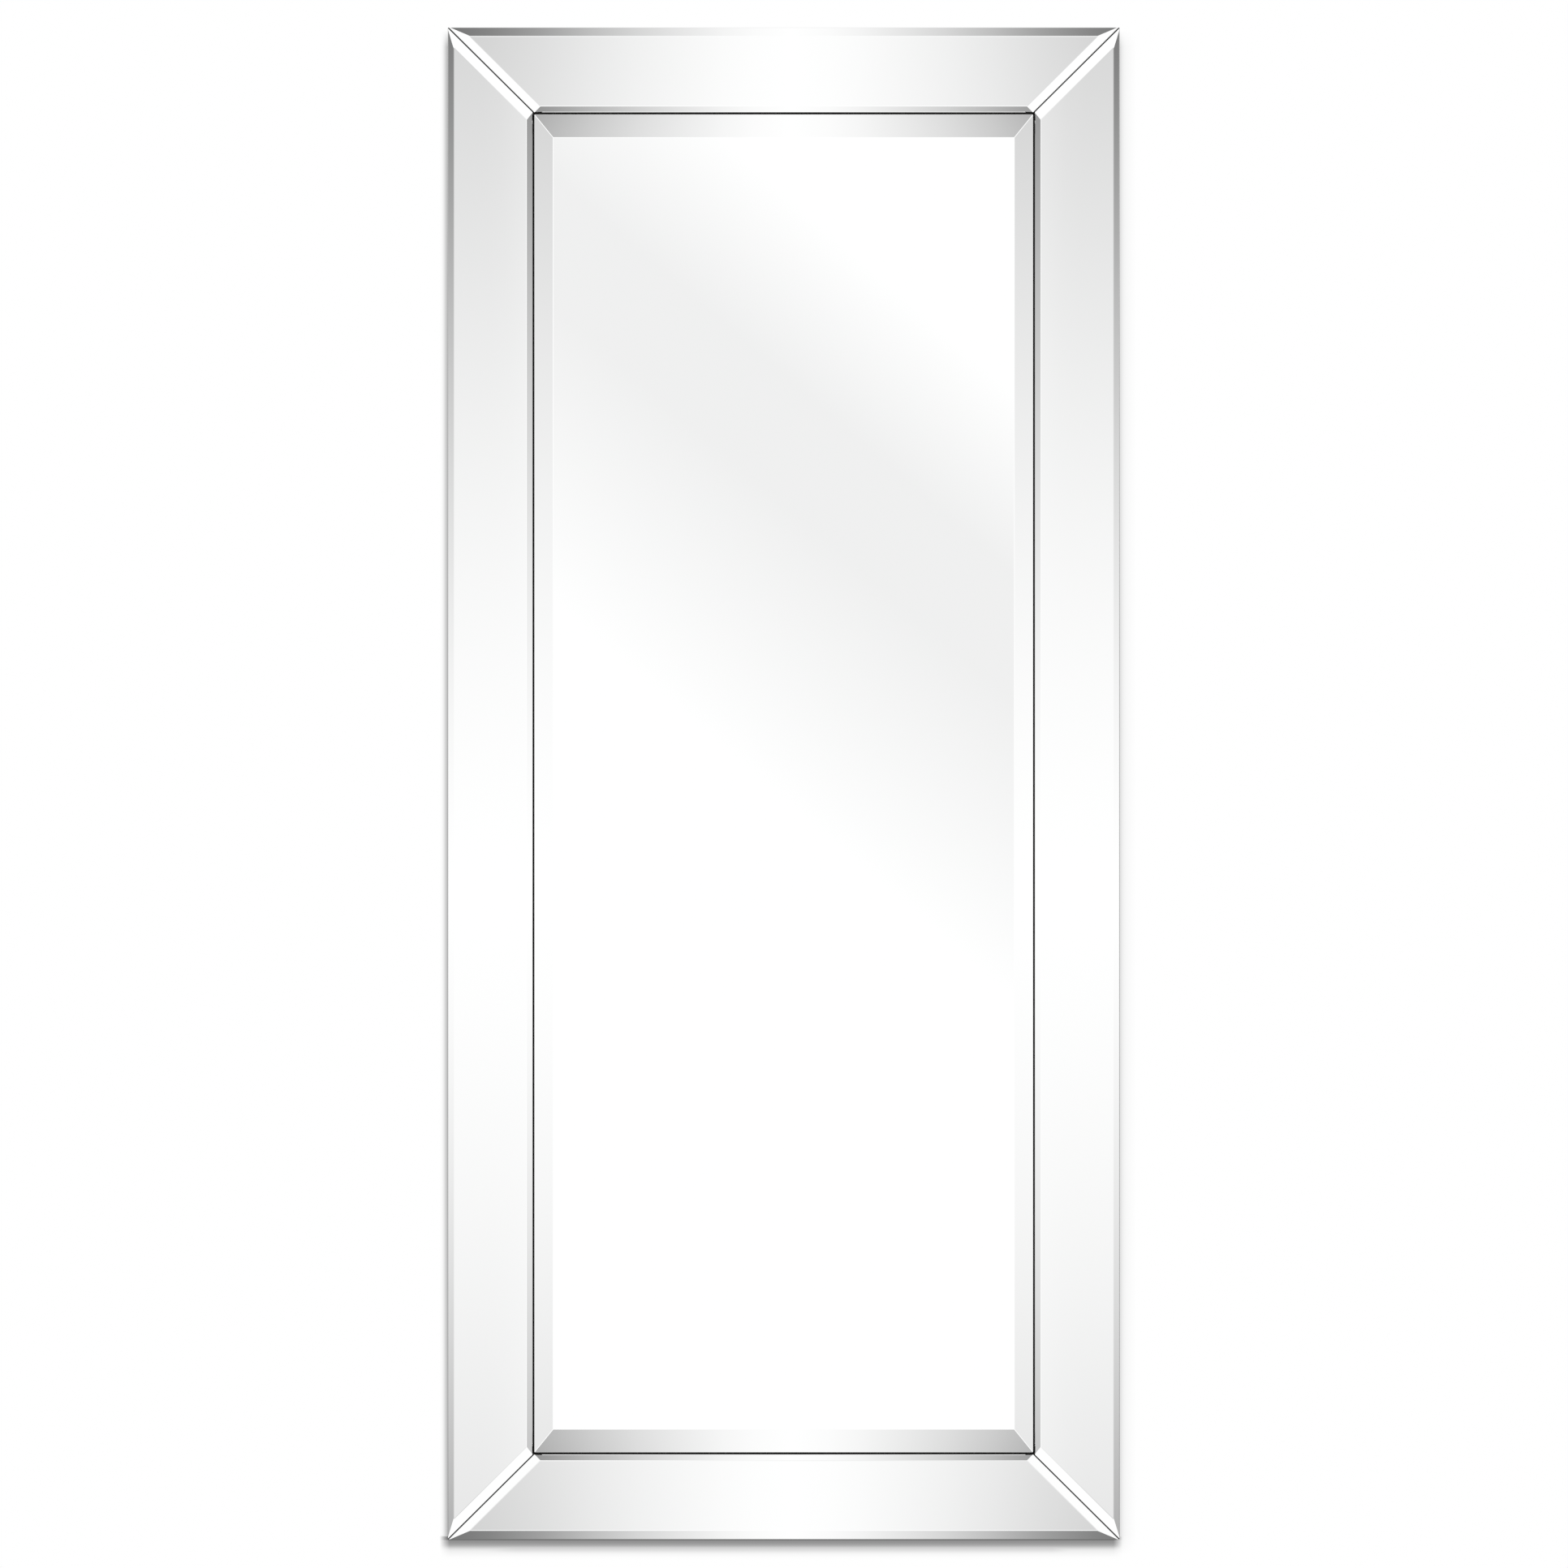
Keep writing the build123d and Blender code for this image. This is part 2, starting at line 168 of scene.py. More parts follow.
class NodeTree:
    """Makes the nodes of one shader, world or geometry tree."""

    def __init__(self, tree: bpy.types.NodeTree) -> None:
        """Empties the tree.

        Args:
            tree: The tree to fill.
        """
        self.tree = tree
        tree.nodes.clear()

    def add(
        self,
        kind: str,
        settings: dict[str, Any] | None = None,
        values: dict[str | int, Value] | None = None,
        output: str | int = 0,
    ) -> Channel:
        """Makes any node.

        Args:
            kind: The node's type.
            settings: Its own settings, set before its sockets. A ramp's stops are "stops".
            values: What goes into its sockets, by name or number.
            output: The output wanted, by name or number.

        Returns:
            That output, or the node's first input where it has no output.
        """
        node = self.tree.nodes.new(kind)
        for name, value in (settings or {}).items():
            if name == "stops":
                self._set_stops(node, value)
            else:
                setattr(node, name, value)
        for key, value in (values or {}).items():
            if isinstance(value, Channel):
                self.tree.links.new(value.socket, node.inputs[key])
            else:
                node.inputs[key].default_value = value
        return Channel(self, (node.outputs or node.inputs)[output])

    @staticmethod
    def _set_stops(node: bpy.types.Node, stops: Sequence[Pair]) -> None:
        """Gives a colour ramp its stops, each a place and a grey.

        Args:
            node: The ramp.
            stops: Its stops, in order.
        """
        elements = node.color_ramp.elements
        while len(elements) < len(stops):
            elements.new(1.0)
        for element, (place, grey) in zip(elements, stops):
            element.position = place
            element.color = (grey, grey, grey, 1.0)

    def graph(self, value: Channel, points: Sequence[Pair]) -> Channel:
        """Straight lines between points.

        Args:
            value: Where to read the graph.
            points: Its points, in order, each a place and a height. It is level outside them.

        Returns:
            The graph's height.
        """
        start, end = points[0][0], points[-1][0]
        top = max(height for _, height in points)
        stops = [((place - start) / (end - start), height / top) for place, height in points]
        return self.add("ShaderNodeValToRGB", {"stops": stops}, {0: (value - start) / (end - start)}) * top

    def fade(self, value: Channel, start: float, end: float) -> Channel:
        """Falls from 1 at start to 0 at end."""
        return self.add("ShaderNodeMapRange", None, {0: value, 1: start, 2: end, 3: 1.0, 4: 0.0})

    def noise(self, place: Channel, scale: float, detail: float = 3.0, twist: float = 0.0) -> Channel:
        """Noise of about 0 to 1.

        Args:
            place: The coordinates.
            scale: How many times it repeats in a metre.
            detail: How many finer layers it has.
            twist: How far it is distorted.

        Returns:
            The noise.
        """
        inputs = {"Vector": place, "Scale": scale, "Detail": detail, "Distortion": twist}
        return self.add("ShaderNodeTexNoise", None, inputs)

    def blend(self, factor: Value, first: Value, second: Value) -> Channel:
        """Mixes two colours.

        Args:
            factor: The second colour's share.
            first: The first colour.
            second: The second colour.

        Returns:
            The mixed colour.
        """
        colours = [c if isinstance(c, Channel) else (*c, 1.0) for c in (first, second)]
        return self.add("ShaderNodeMix", {"data_type": "RGBA"}, {0: factor, 6: colours[0], 7: colours[1]}, 2)

    def bump(self, height: Channel, strength: float, distance: float) -> Channel:
        """Normal of a surface with this relief, whose depth is in metres."""
        inputs = {"Strength": strength, "Distance": distance, "Height": height}
        return self.add("ShaderNodeBump", None, inputs)

    def place(self) -> Channel:
        """Object coordinates."""
        return self.add("ShaderNodeTexCoord", output="Object")

    def stretched(self, place: Channel, scale: Sequence[float]) -> Channel:
        """Coordinates made denser along each axis."""
        return self.add("ShaderNodeMapping", None, {"Vector": place, "Scale": tuple(scale)})

    def split(self, vector: Channel) -> tuple[Channel, Channel, Channel]:
        """The three parts of a vector.

        Args:
            vector: The vector.

        Returns:
            Its X, Y and Z.
        """
        first = self.add("ShaderNodeSeparateXYZ", None, {0: vector})
        parts = first.socket.node.outputs
        return first, Channel(self, parts[1]), Channel(self, parts[2])


@dataclass(frozen=True)
class Finish:
    """A finish, which makes its material the first time it is asked for."""

    name: str

    def paint(self, nodes: NodeTree) -> dict[str, Value]:
        """Makes the pattern.

        Args:
            nodes: The material's tree.

        Returns:
            What goes into the shader's sockets, by name.
        """
        raise NotImplementedError

    def material(self) -> bpy.types.Material:
        """The finish's material.

        Returns:
            The material, which all pieces of this finish share.
        """
        made = bpy.data.materials.get(self.name)
        if made is None:
            made = bpy.data.materials.new(self.name)
            made.use_nodes = True
            nodes = NodeTree(made.node_tree)
            shader = nodes.add("ShaderNodeBsdfPrincipled", None, self.paint(nodes))
            nodes.add("ShaderNodeOutputMaterial", None, {"Surface": shader})
        return made


@dataclass(frozen=True)
class Silvering(Finish):
    """Polished mirror glass, seen from the front."""

    shine: float = 0.955
    haze: float = 0.004

    def paint(self, nodes: NodeTree) -> dict[str, Value]:
        """Clear reflection with the faintest haze where a cloth has passed.

        Args:
            nodes: The material's tree.

        Returns:
            What goes into the shader's sockets, by name.
        """
        place = nodes.place()
        wiped = nodes.noise(nodes.stretched(place, (3.0, 3.0, 9.0)), 1.0, 4.0, 1.2)
        tint = nodes.blend(wiped, (self.shine,) * 3, (self.shine - 0.004, self.shine, self.shine - 0.002))
        return {"Base Color": tint, "Metallic": 1.0, "Roughness": wiped * self.haze}


@dataclass(frozen=True)
class Arris(Finish):
    """The narrow seamed edge between two polished faces."""

    def paint(self, nodes: NodeTree) -> dict[str, Value]:
        """Bright and a little less polished, with short grinding marks.

        Args:
            nodes: The material's tree.

        Returns:
            What goes into the shader's sockets, by name.
        """
        marks = nodes.noise(nodes.place(), 900.0, 2.0)
        tint = nodes.blend(marks, (0.99, 1.0, 0.995), (0.95, 0.97, 0.96))
        return {"Base Color": tint, "Metallic": 1.0, "Roughness": 0.07 + marks * 0.05}


@dataclass(frozen=True)
class GlassEdgeAndGapShade(Finish):
    """The ground edge of float glass, whose own green is made darker as painted shade for the gaps between
    the mirrors.
    """

    light: Colour = (0.10, 0.17, 0.14)
    dark: Colour = (0.03, 0.07, 0.055)

    def paint(self, nodes: NodeTree) -> dict[str, Value]:
        """Deep green, darker than the glass alone as painted shade, with the marks of the grinding wheel
        along it.

        Args:
            nodes: The material's tree.

        Returns:
            What goes into the shader's sockets, by name.
        """
        place = nodes.place()
        cloud = nodes.noise(place, 60.0, 3.0)
        marks = nodes.noise(nodes.stretched(place, (1.0, 14.0, 1.0)), 260.0, 3.0)
        return {
            "Base Color": nodes.blend(cloud * 0.6 + marks * 0.4, self.dark, self.light),
            "Roughness": 0.18 + marks * 0.2,
            "Normal": nodes.bump(marks, 0.25, 0.00008),
        }


@dataclass(frozen=True)
class BackPaint(Finish):
    """The grey paint that protects the silver on a mirror's back."""

    def paint(self, nodes: NodeTree) -> dict[str, Value]:
        """Grey with the long streaks of the curtain that it is poured in.

        Args:
            nodes: The material's tree.

        Returns:
            What goes into the shader's sockets, by name.
        """
        place = nodes.place()
        streaks = nodes.noise(nodes.stretched(place, (60.0, 1.0, 2.0)), 4.0, 3.0)
        peel = nodes.noise(place, 420.0, 2.0)
        return {
            "Base Color": nodes.blend(streaks, (0.20, 0.215, 0.21), (0.27, 0.285, 0.28)),
            "Roughness": 0.42 + streaks * 0.15,
            "Normal": nodes.bump(peel, 0.2, 0.0001),
        }


@dataclass(frozen=True)
class Wood(Finish):
    """Bare, sanded pale wood."""

    grain: Grain
    early: Colour = (0.66, 0.47, 0.29)
    late: Colour = (0.42, 0.26, 0.135)

    def paint(self, nodes: NodeTree) -> dict[str, Value]:
        """Growth rings, fine fibres and small pores along the rail.

        Args:
            nodes: The material's tree.

        Returns:
            What goes into the shader's sockets, by name.
        """
        place = nodes.place()
        along = nodes.stretched(place, self.grain.value)
        wander = nodes.noise(along, 1.7, 3.0, 0.5)
        rings = abs(nodes.add("ShaderNodeMath", {"operation": "SINE"}, {0: wander * 42.0}))
        fibres = nodes.noise(nodes.stretched(along, (3.2, 3.2, 3.2)), 9.0, 5.0, 0.3)
        specks = nodes.noise(nodes.stretched(along, (1.6, 1.6, 1.6)), 34.0, 2.0)
        pores = nodes.graph(specks, [(0.62, 0.0), (0.75, 1.0)])
        shade = rings ** 2.0 * 0.45 + fibres * 0.5
        worn = nodes.noise(place, 5.0, 2.0)
        colour = nodes.blend(shade, self.early, self.late)
        dulled = nodes.blend(worn * 0.25, colour, (0.36, 0.27, 0.18))
        return {
            "Base Color": nodes.blend(pores * 0.5, dulled, (0.17, 0.10, 0.05)),
            "Roughness": 0.58 + fibres * 0.2,
            "Normal": nodes.bump(fibres * 0.7 - pores * 0.6 + rings * 0.15, 0.35, 0.0003),
        }


@dataclass(frozen=True)
class GapShadePaint(Finish):
    """Thin dark paint on the faces under the mirrors, which is also painted shade: it stands in for the shade
    in the gaps between them.
    """

    def paint(self, nodes: NodeTree) -> dict[str, Value]:
        """Brushed and a little patchy.

        Args:
            nodes: The material's tree.

        Returns:
            What goes into the shader's sockets, by name.
        """
        place = nodes.place()
        strokes = nodes.noise(nodes.stretched(place, (3.0, 1.0, 3.0)), 45.0, 4.0, 0.4)
        return {
            "Base Color": nodes.blend(strokes, (0.022, 0.022, 0.021), (0.05, 0.048, 0.045)),
            "Roughness": 0.6 + strokes * 0.25,
            "Normal": nodes.bump(strokes, 0.3, 0.0002),
        }


@dataclass(frozen=True)
class Hardboard(Finish):
    """Pressed fibreboard, smooth side out."""

    pale: Colour = (0.25, 0.145, 0.078)
    deep: Colour = (0.125, 0.066, 0.034)

    def paint(self, nodes: NodeTree) -> dict[str, Value]:
        """Matted short fibres under a thin skin, with a few rubbed patches.

        Args:
            nodes: The material's tree.

        Returns:
            What goes into the shader's sockets, by name.
        """
        place = nodes.place()
        mat = nodes.noise(place, 520.0, 5.0, 1.4)
        cloud = nodes.noise(place, 9.0, 4.0, 0.6)
        chips = nodes.noise(nodes.stretched(place, (1.0, 1.0, 2.6)), 330.0, 3.0)
        flecks = nodes.graph(chips, [(0.6, 0.0), (0.72, 1.0)])
        colour = nodes.blend(mat * 0.6 + cloud * 0.4, self.deep, self.pale)
        return {
            "Base Color": nodes.blend(flecks * 0.4, colour, (0.38, 0.25, 0.15)),
            "Roughness": 0.5 + cloud * 0.25,
            "Normal": nodes.bump(mat, 0.3, 0.00025),
        }


@dataclass(frozen=True)
class Foam(Finish):
    """White closed-cell foam."""

    def paint(self, nodes: NodeTree) -> dict[str, Value]:
        """Small cells that show as dimples.

        Args:
            nodes: The material's tree.

        Returns:
            What goes into the shader's sockets, by name.
        """
        place = nodes.place()
        cells = nodes.add("ShaderNodeTexVoronoi", None, {"Vector": place, "Scale": 900.0})
        cloud = nodes.noise(place, 30.0, 3.0)
        return {
            "Base Color": nodes.blend(cloud, (0.80, 0.80, 0.77), (0.88, 0.88, 0.86)),
            "Roughness": 0.82 + cloud * 0.1,
            "Normal": nodes.bump(cells, 0.5, 0.0003),
        }


@dataclass(frozen=True)
class PlatedSteel(Finish):
    """Zinc plated steel, rolled or drawn along its length."""

    bright: Colour = (0.80, 0.81, 0.83)
    dull: Colour = (0.55, 0.56, 0.59)
    streak: tuple[float, float, float] = (1.0, 1.0, 12.0)
    rough: float = 0.24

    def paint(self, nodes: NodeTree) -> dict[str, Value]:
        """Cloudy plating over fine lines, duller in patches.

        Args:
            nodes: The material's tree.

        Returns:
            What goes into the shader's sockets, by name.
        """
        place = nodes.place()
        lines = nodes.noise(nodes.stretched(place, self.streak), 700.0, 3.0)
        cloud = nodes.noise(place, 170.0, 4.0, 0.8)
        spots = nodes.graph(nodes.noise(place, 420.0, 2.0), [(0.66, 0.0), (0.74, 1.0)])
        colour = nodes.blend(cloud, self.bright, self.dull)
        return {
            "Base Color": nodes.blend(spots * 0.5, colour, (0.40, 0.41, 0.42)),
            "Metallic": 1.0,
            "Roughness": self.rough + cloud * 0.14 + spots * 0.2,
            "Normal": nodes.bump(lines, 0.18, 0.00006),
        }


@dataclass(frozen=True)
class Rubber(Finish):
    """Black moulded rubber."""

    def paint(self, nodes: NodeTree) -> dict[str, Value]:
        """Fine moulded grain with a little dust in it.

        Args:
            nodes: The material's tree.

        Returns:
            What goes into the shader's sockets, by name.
        """
        place = nodes.place()
        grain = nodes.noise(place, 1400.0, 3.0)
        dust = nodes.noise(place, 120.0, 4.0)
        return {
            "Base Color": nodes.blend(dust * 0.6, (0.022, 0.022, 0.024), (0.075, 0.074, 0.07)),
            "Roughness": 0.6 + dust * 0.2,
            "Normal": nodes.bump(grain, 0.35, 0.00015),
        }


SILVERING = Silvering("mirror_silvering")
GLASS_EDGE_AND_GAP_SHADE = GlassEdgeAndGapShade("mirror_glass_edge_and_gap_shade")
BACK_PAINT = BackPaint("mirror_back_paint")
ARRIS = Arris("mirror_arris")
PINE = {True: Wood("rail_wood_upright", Grain.UPRIGHT), False: Wood("rail_wood_across", Grain.ACROSS)}
GAP_SHADE_PAINT = GapShadePaint("rail_gap_shade_paint")
FIBREBOARD = Hardboard("backing_hardboard")
WHITE_FOAM = Foam("white_foam")
SHEET_STEEL = PlatedSteel("strap_steel", rough=0.3)
WIRE_STEEL = PlatedSteel("ring_steel", streak=(1.0, 1.0, 1.0), rough=0.2)
SCREW_STEEL = PlatedSteel("screw_steel", (0.72, 0.72, 0.73), (0.50, 0.50, 0.51), (1.0, 1.0, 1.0), 0.3)
BLACK_RUBBER = Rubber("bumper_rubber")


def new_piece(name: str, mesh: bpy.types.Mesh, finishes: Sequence[Finish]) -> bpy.types.Object:
    """Puts a mesh in the scene.

    Args:
        name: The piece's name.
        mesh: Its mesh, with its place in its vertices.
        finishes: Its finishes, in the order of the mesh's material numbers.

    Returns:
        The piece.
    """
    mesh.name = name
    mesh.materials.clear()
    for finish in finishes:
        mesh.materials.append(finish.material())
    piece = bpy.data.objects.new(name, mesh)
    bpy.context.scene.collection.objects.link(piece)
    return piece


def seat(piece: bpy.types.Object, body: str, slot: str, *nodes: str) -> bpy.types.Object:
    """Makes a finished piece ride and stand for its solids.

    Args:
        piece: The piece.
        body: The body that carries it.
        slot: The record's slot for its finish. It is not used.
        nodes: The solids that it stands for.

    Returns:
        The piece.
    """
    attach(piece, body)
    if nodes:
        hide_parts(*nodes)
    log.info("%s: %d faces, rides on %s", piece.name, len(piece.data.polygons), body)
    return piece


def mesh_of(shape: bmesh.types.BMesh, sharp: float | None = None) -> bpy.types.Mesh:
    """Turns an edited shape into a mesh.

    Args:
        shape: The shape, which is freed.
        sharp: Edges that turn by more than this many radians stay sharp and the rest is smooth, except
            on broad faces. Where it is None every face is flat.

    Returns:
        The mesh.
    """
    if sharp is not None:
        for face in shape.faces:
            face.smooth = face.calc_area() < BROAD
        for edge in shape.edges:
            edge.smooth = edge.is_manifold and edge.calc_face_angle(0.0) < sharp
    mesh = bpy.data.meshes.new("shape")
    shape.to_mesh(mesh)
    shape.free()
    return mesh


def softened(node: str, width: float, shortest: float, turned: float) -> bpy.types.Mesh:
    """Copies a solid and rounds its edges.

    Args:
        node: The solid's name.
        width: How far each edge is cut back.
        shortest: Edges shorter than this stay sharp.
        turned: Edges that turn by fewer radians than this stay as they are.

    Returns:
        The copy.
    """
    shape = bmesh.new()
    shape.from_mesh(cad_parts[node].data)
    bmesh.ops.remove_doubles(shape, verts=shape.verts, dist=2 * WELD)
    bmesh.ops.dissolve_limit(shape, angle_limit=0.01, verts=shape.verts, edges=shape.edges)
    edges = [
        edge
        for edge in shape.edges
        if edge.is_manifold and edge.calc_face_angle(0.0) > turned and edge.calc_length() > shortest
    ]
    bmesh.ops.bevel(
        shape, geom=edges, offset=width, segments=2, profile=0.5, affect="EDGES", clamp_overlap=True
    )
    return mesh_of(shape, math.radians(35))


@dataclass
class GlassPlate:
    """A mirror of plate glass, ground to a bevel along each of its four edges."""

    corners: Sequence[Pair]
    bevels: Sequence[float]
    glass: float
    rim: float
    place: Matrix
    arris: float = 0.34 * MM

    def face_corners(self) -> list[Vector]:
        """Corners of the flat face, inside the bevels.

        Returns:
            The corners, in order.
        """
        count = len(self.corners)
        lines = []
        for index, width in enumerate(self.bevels):
            start = Vector(self.corners[index])
            along = (Vector(self.corners[(index + 1) % count]) - start).normalized()
            lines.append((start + Vector((-along.y, along.x)) * width, along))
        found = []
        for index, (start, along) in enumerate(lines):
            before, other = lines[index - 1]
            gap = start - before
            step = (gap.x * along.y - gap.y * along.x) / (other.x * along.y - other.y * along.x)
            found.append(before + other * step)
        return found

    def mesh(self) -> bpy.types.Mesh:
        """The plate's mesh, with its layers' material numbers.

        The arrises round the rim are ground, so they count as part of the edge, whose dark finish there
        widens the painted shade along the gaps.

        Returns:
            The mesh, in its place.
        """
        shape = bmesh.new()
        levels = [
            [shape.verts.new((*point, height)) for point in outline]
            for outline, height in (
                (self.corners, 0.0),
                (self.corners, self.rim),
                (self.face_corners(), self.glass),
            )
        ]
        shape.faces.new(reversed(levels[0])).material_index = Layer.BACK
        shape.faces.new(levels[2]).material_index = Layer.SILVER
        for lower, upper, number in zip(levels, levels[1:], (Layer.EDGE, Layer.SILVER)):
            for index in range(len(lower)):
                after = (index + 1) % len(lower)
                quad = (lower[index], lower[after], upper[after], upper[index])
                shape.faces.new(quad).material_index = number
        bmesh.ops.bevel(
            shape,
            geom=list(shape.edges),
            offset=self.arris,
            segments=1,
            affect="EDGES",
            clamp_overlap=True,
            material=Layer.ARRIS,
        )
        # painted shade: the rim's arrises take the dark edge finish, which darkens the lines between the
        # mirrors
        for face in shape.faces:
            low = face.calc_center_median().z < self.rim + self.arris
            if face.material_index == Layer.ARRIS and low:
                face.material_index = Layer.EDGE
        shape.transform(self.place)
        return mesh_of(shape)

    def build(self, node: str) -> None:
        """Makes the mirror that stands for this solid.

        Args:
            node: The solid's name.
        """
        piece = new_piece(f"{node}_glass", self.mesh(), (SILVERING, GLASS_EDGE_AND_GAP_SHADE, BACK_PAINT, ARRIS))
        seat(piece, "mirror", "mirror_glass", node)


@dataclass
class Mirrors:
    """The centre mirror and the four bevelled, mitred strips round it."""

    width: float = WIDTH
    height: float = HEIGHT
    bumpers: float = BUMPERS
    rail_edge: float = 14.5 * MM
    slope: float = math.radians(5.0)
    strip_reach: Pair = (78.4 * MM, 77.55 * MM)
    strip_glass: float = 4.0 * MM
    strip_rim: float = 2.0 * MM
    strip_tape: float = 0.66 * MM
    setback: float = 0.3 * MM
    mitre_gap: float = 0.85 * MM
    end_bevels: tuple[float, float, float] = (8.8 * MM, 5.1 * MM, 7.5 * MM)
    side_bevels: tuple[float, float, float] = (5.7 * MM, 5.2 * MM, 8.7 * MM)
    centre_back: float = 17.554 * MM
    centre_glass: float = 5.0 * MM
    centre_rim: float = 2.3 * MM
    centre_bevels: Pair = (21.6 * MM, 17.4 * MM)
    centre_border: Pair = (78.6 * MM, 79.4 * MM)

    def slope_place(self, side: Side, level: float) -> Matrix:
        """Place of a piece on a rail's sloping face.

        Args:
            side: The rail's side.
            level: Height above the slope.

        Returns:
            A matrix whose X runs along the rail, Y outwards down the slope and Z away from it.
        """
        rise, run = math.sin(self.slope), math.cos(self.slope)
        reach = (self.width if side.upright else self.height) / 2
        foot = Vector((0, -self.bumpers - self.rail_edge - level * run, reach + level * rise))
        axes = Matrix(((1, 0, 0), (0, rise, -run), (0, run, rise)))
        return side.turn @ Matrix.Translation(foot) @ axes.to_4x4()

    def half_length(self, side: Side, along: float, margin: float) -> float:
        """Half a strip's length, so far up the slope, less a margin square to the mitre.

        Args:
            side: The strip's side.
            along: Distance from the rail's outer edge, up the slope.
            margin: The margin.

        Returns:
            Half the length.
        """
        length = self.height if side.upright else self.width
        inset = math.cos(self.slope) * along - math.sin(self.slope) * self.strip_tape
        return length / 2 - inset - margin * math.sqrt(2)

    def reaches(self, side: Side) -> Pair:
        """Distances of a strip's outer and inner edges from the rail's outer edge, up the slope.

        Args:
            side: The strip's side.

        Returns:
            Both distances.
        """
        rise, run = math.sin(self.slope), math.cos(self.slope)
        start = (self.setback + rise * (self.strip_tape + self.strip_rim)) / run
        return start, (self.strip_reach[side.upright] + rise * self.strip_tape) / run

    def strip(self, side: Side) -> None:
        """Makes the strip of one side.

        Args:
            side: The side.
        """
        outer, inner, mitre = self.side_bevels if side.upright else self.end_bevels
        start, end = self.reaches(side)
        wide = self.half_length(side, start, self.mitre_gap / 2)
        narrow = self.half_length(side, end, self.mitre_gap / 2)
        plate = GlassPlate(
            corners=[(-narrow, -end), (narrow, -end), (wide, -start), (-wide, -start)],
            bevels=[inner, mitre, outer, mitre],
            glass=self.strip_glass,
            rim=self.strip_rim,
            place=self.slope_place(side, self.strip_tape),
        )
        plate.build(f"mirror_strip_{side.name.lower()}")

    def centre(self) -> None:
        """Makes the centre mirror."""
        x = self.width / 2 - self.centre_border[0]
        z = self.height / 2 - self.centre_border[1]
        axes = Matrix(((1, 0, 0), (0, 0, -1), (0, 1, 0)))
        plate = GlassPlate(
            corners=[(-x, -z), (x, -z), (x, z), (-x, z)],
            bevels=self.centre_bevels * 2,
            glass=self.centre_glass,
            rim=self.centre_rim,
            place=Matrix.Translation((0, -self.bumpers - self.centre_back, 0)) @ axes.to_4x4(),
        )
        plate.build("centre_mirror")

    def build(self) -> None:
        """Makes the five mirrors."""
        self.centre()
        for side in Side:
            self.strip(side)


@dataclass
class Woodwork:
    """The rails, their corner nails and the backing board."""

    rail_softening: float = 0.45 * MM
    board_softening: float = 0.3 * MM
    shortest: float = 9.0 * MM
    gap_shade_from: float = -16.4 * MM

    def give_painted_gap_shade(self, mesh: bpy.types.Mesh) -> None:
        """Gives the dark paint, which is also painted shade for the gaps, to a rail's faces under the
        mirrors.

        Args:
            mesh: The rail's mesh. Its second finish is the dark paint, which is painted shade for the gaps.
        """
        for face in mesh.polygons:
            outwards = face.normal.dot(face.center.normalized())
            # painted shade: faces deep under the mirrors get the dark paint, so the gaps between the mirrors
            # read as shaded
            if face.center.y < self.gap_shade_from and (face.normal.y < -0.3 or outwards < -0.3):
                face.material_index = 1

    def build(self) -> None:
        """Makes the rails and the board, and dresses the nails."""
        for side in Side:
            node = f"rail_{side.name.lower()}"
            mesh = softened(node, self.rail_softening, self.shortest, math.radians(20))
            piece = new_piece(f"{node}_wood", mesh, [PINE[side.upright], GAP_SHADE_PAINT])
            self.give_painted_gap_shade(mesh)
            seat(piece, "mirror", "frame_wood", node)
        mesh = softened("backing_board", self.board_softening, self.shortest, math.radians(40))
        seat(new_piece("backing_hardboard", mesh, [FIBREBOARD]), "mirror", "hardboard", "backing_board")
        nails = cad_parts["mitre_nails"]
        nails.data.materials.clear()
        nails.data.materials.append(SHEET_STEEL.material())
        log.info("mitre_nails: dressed in steel")


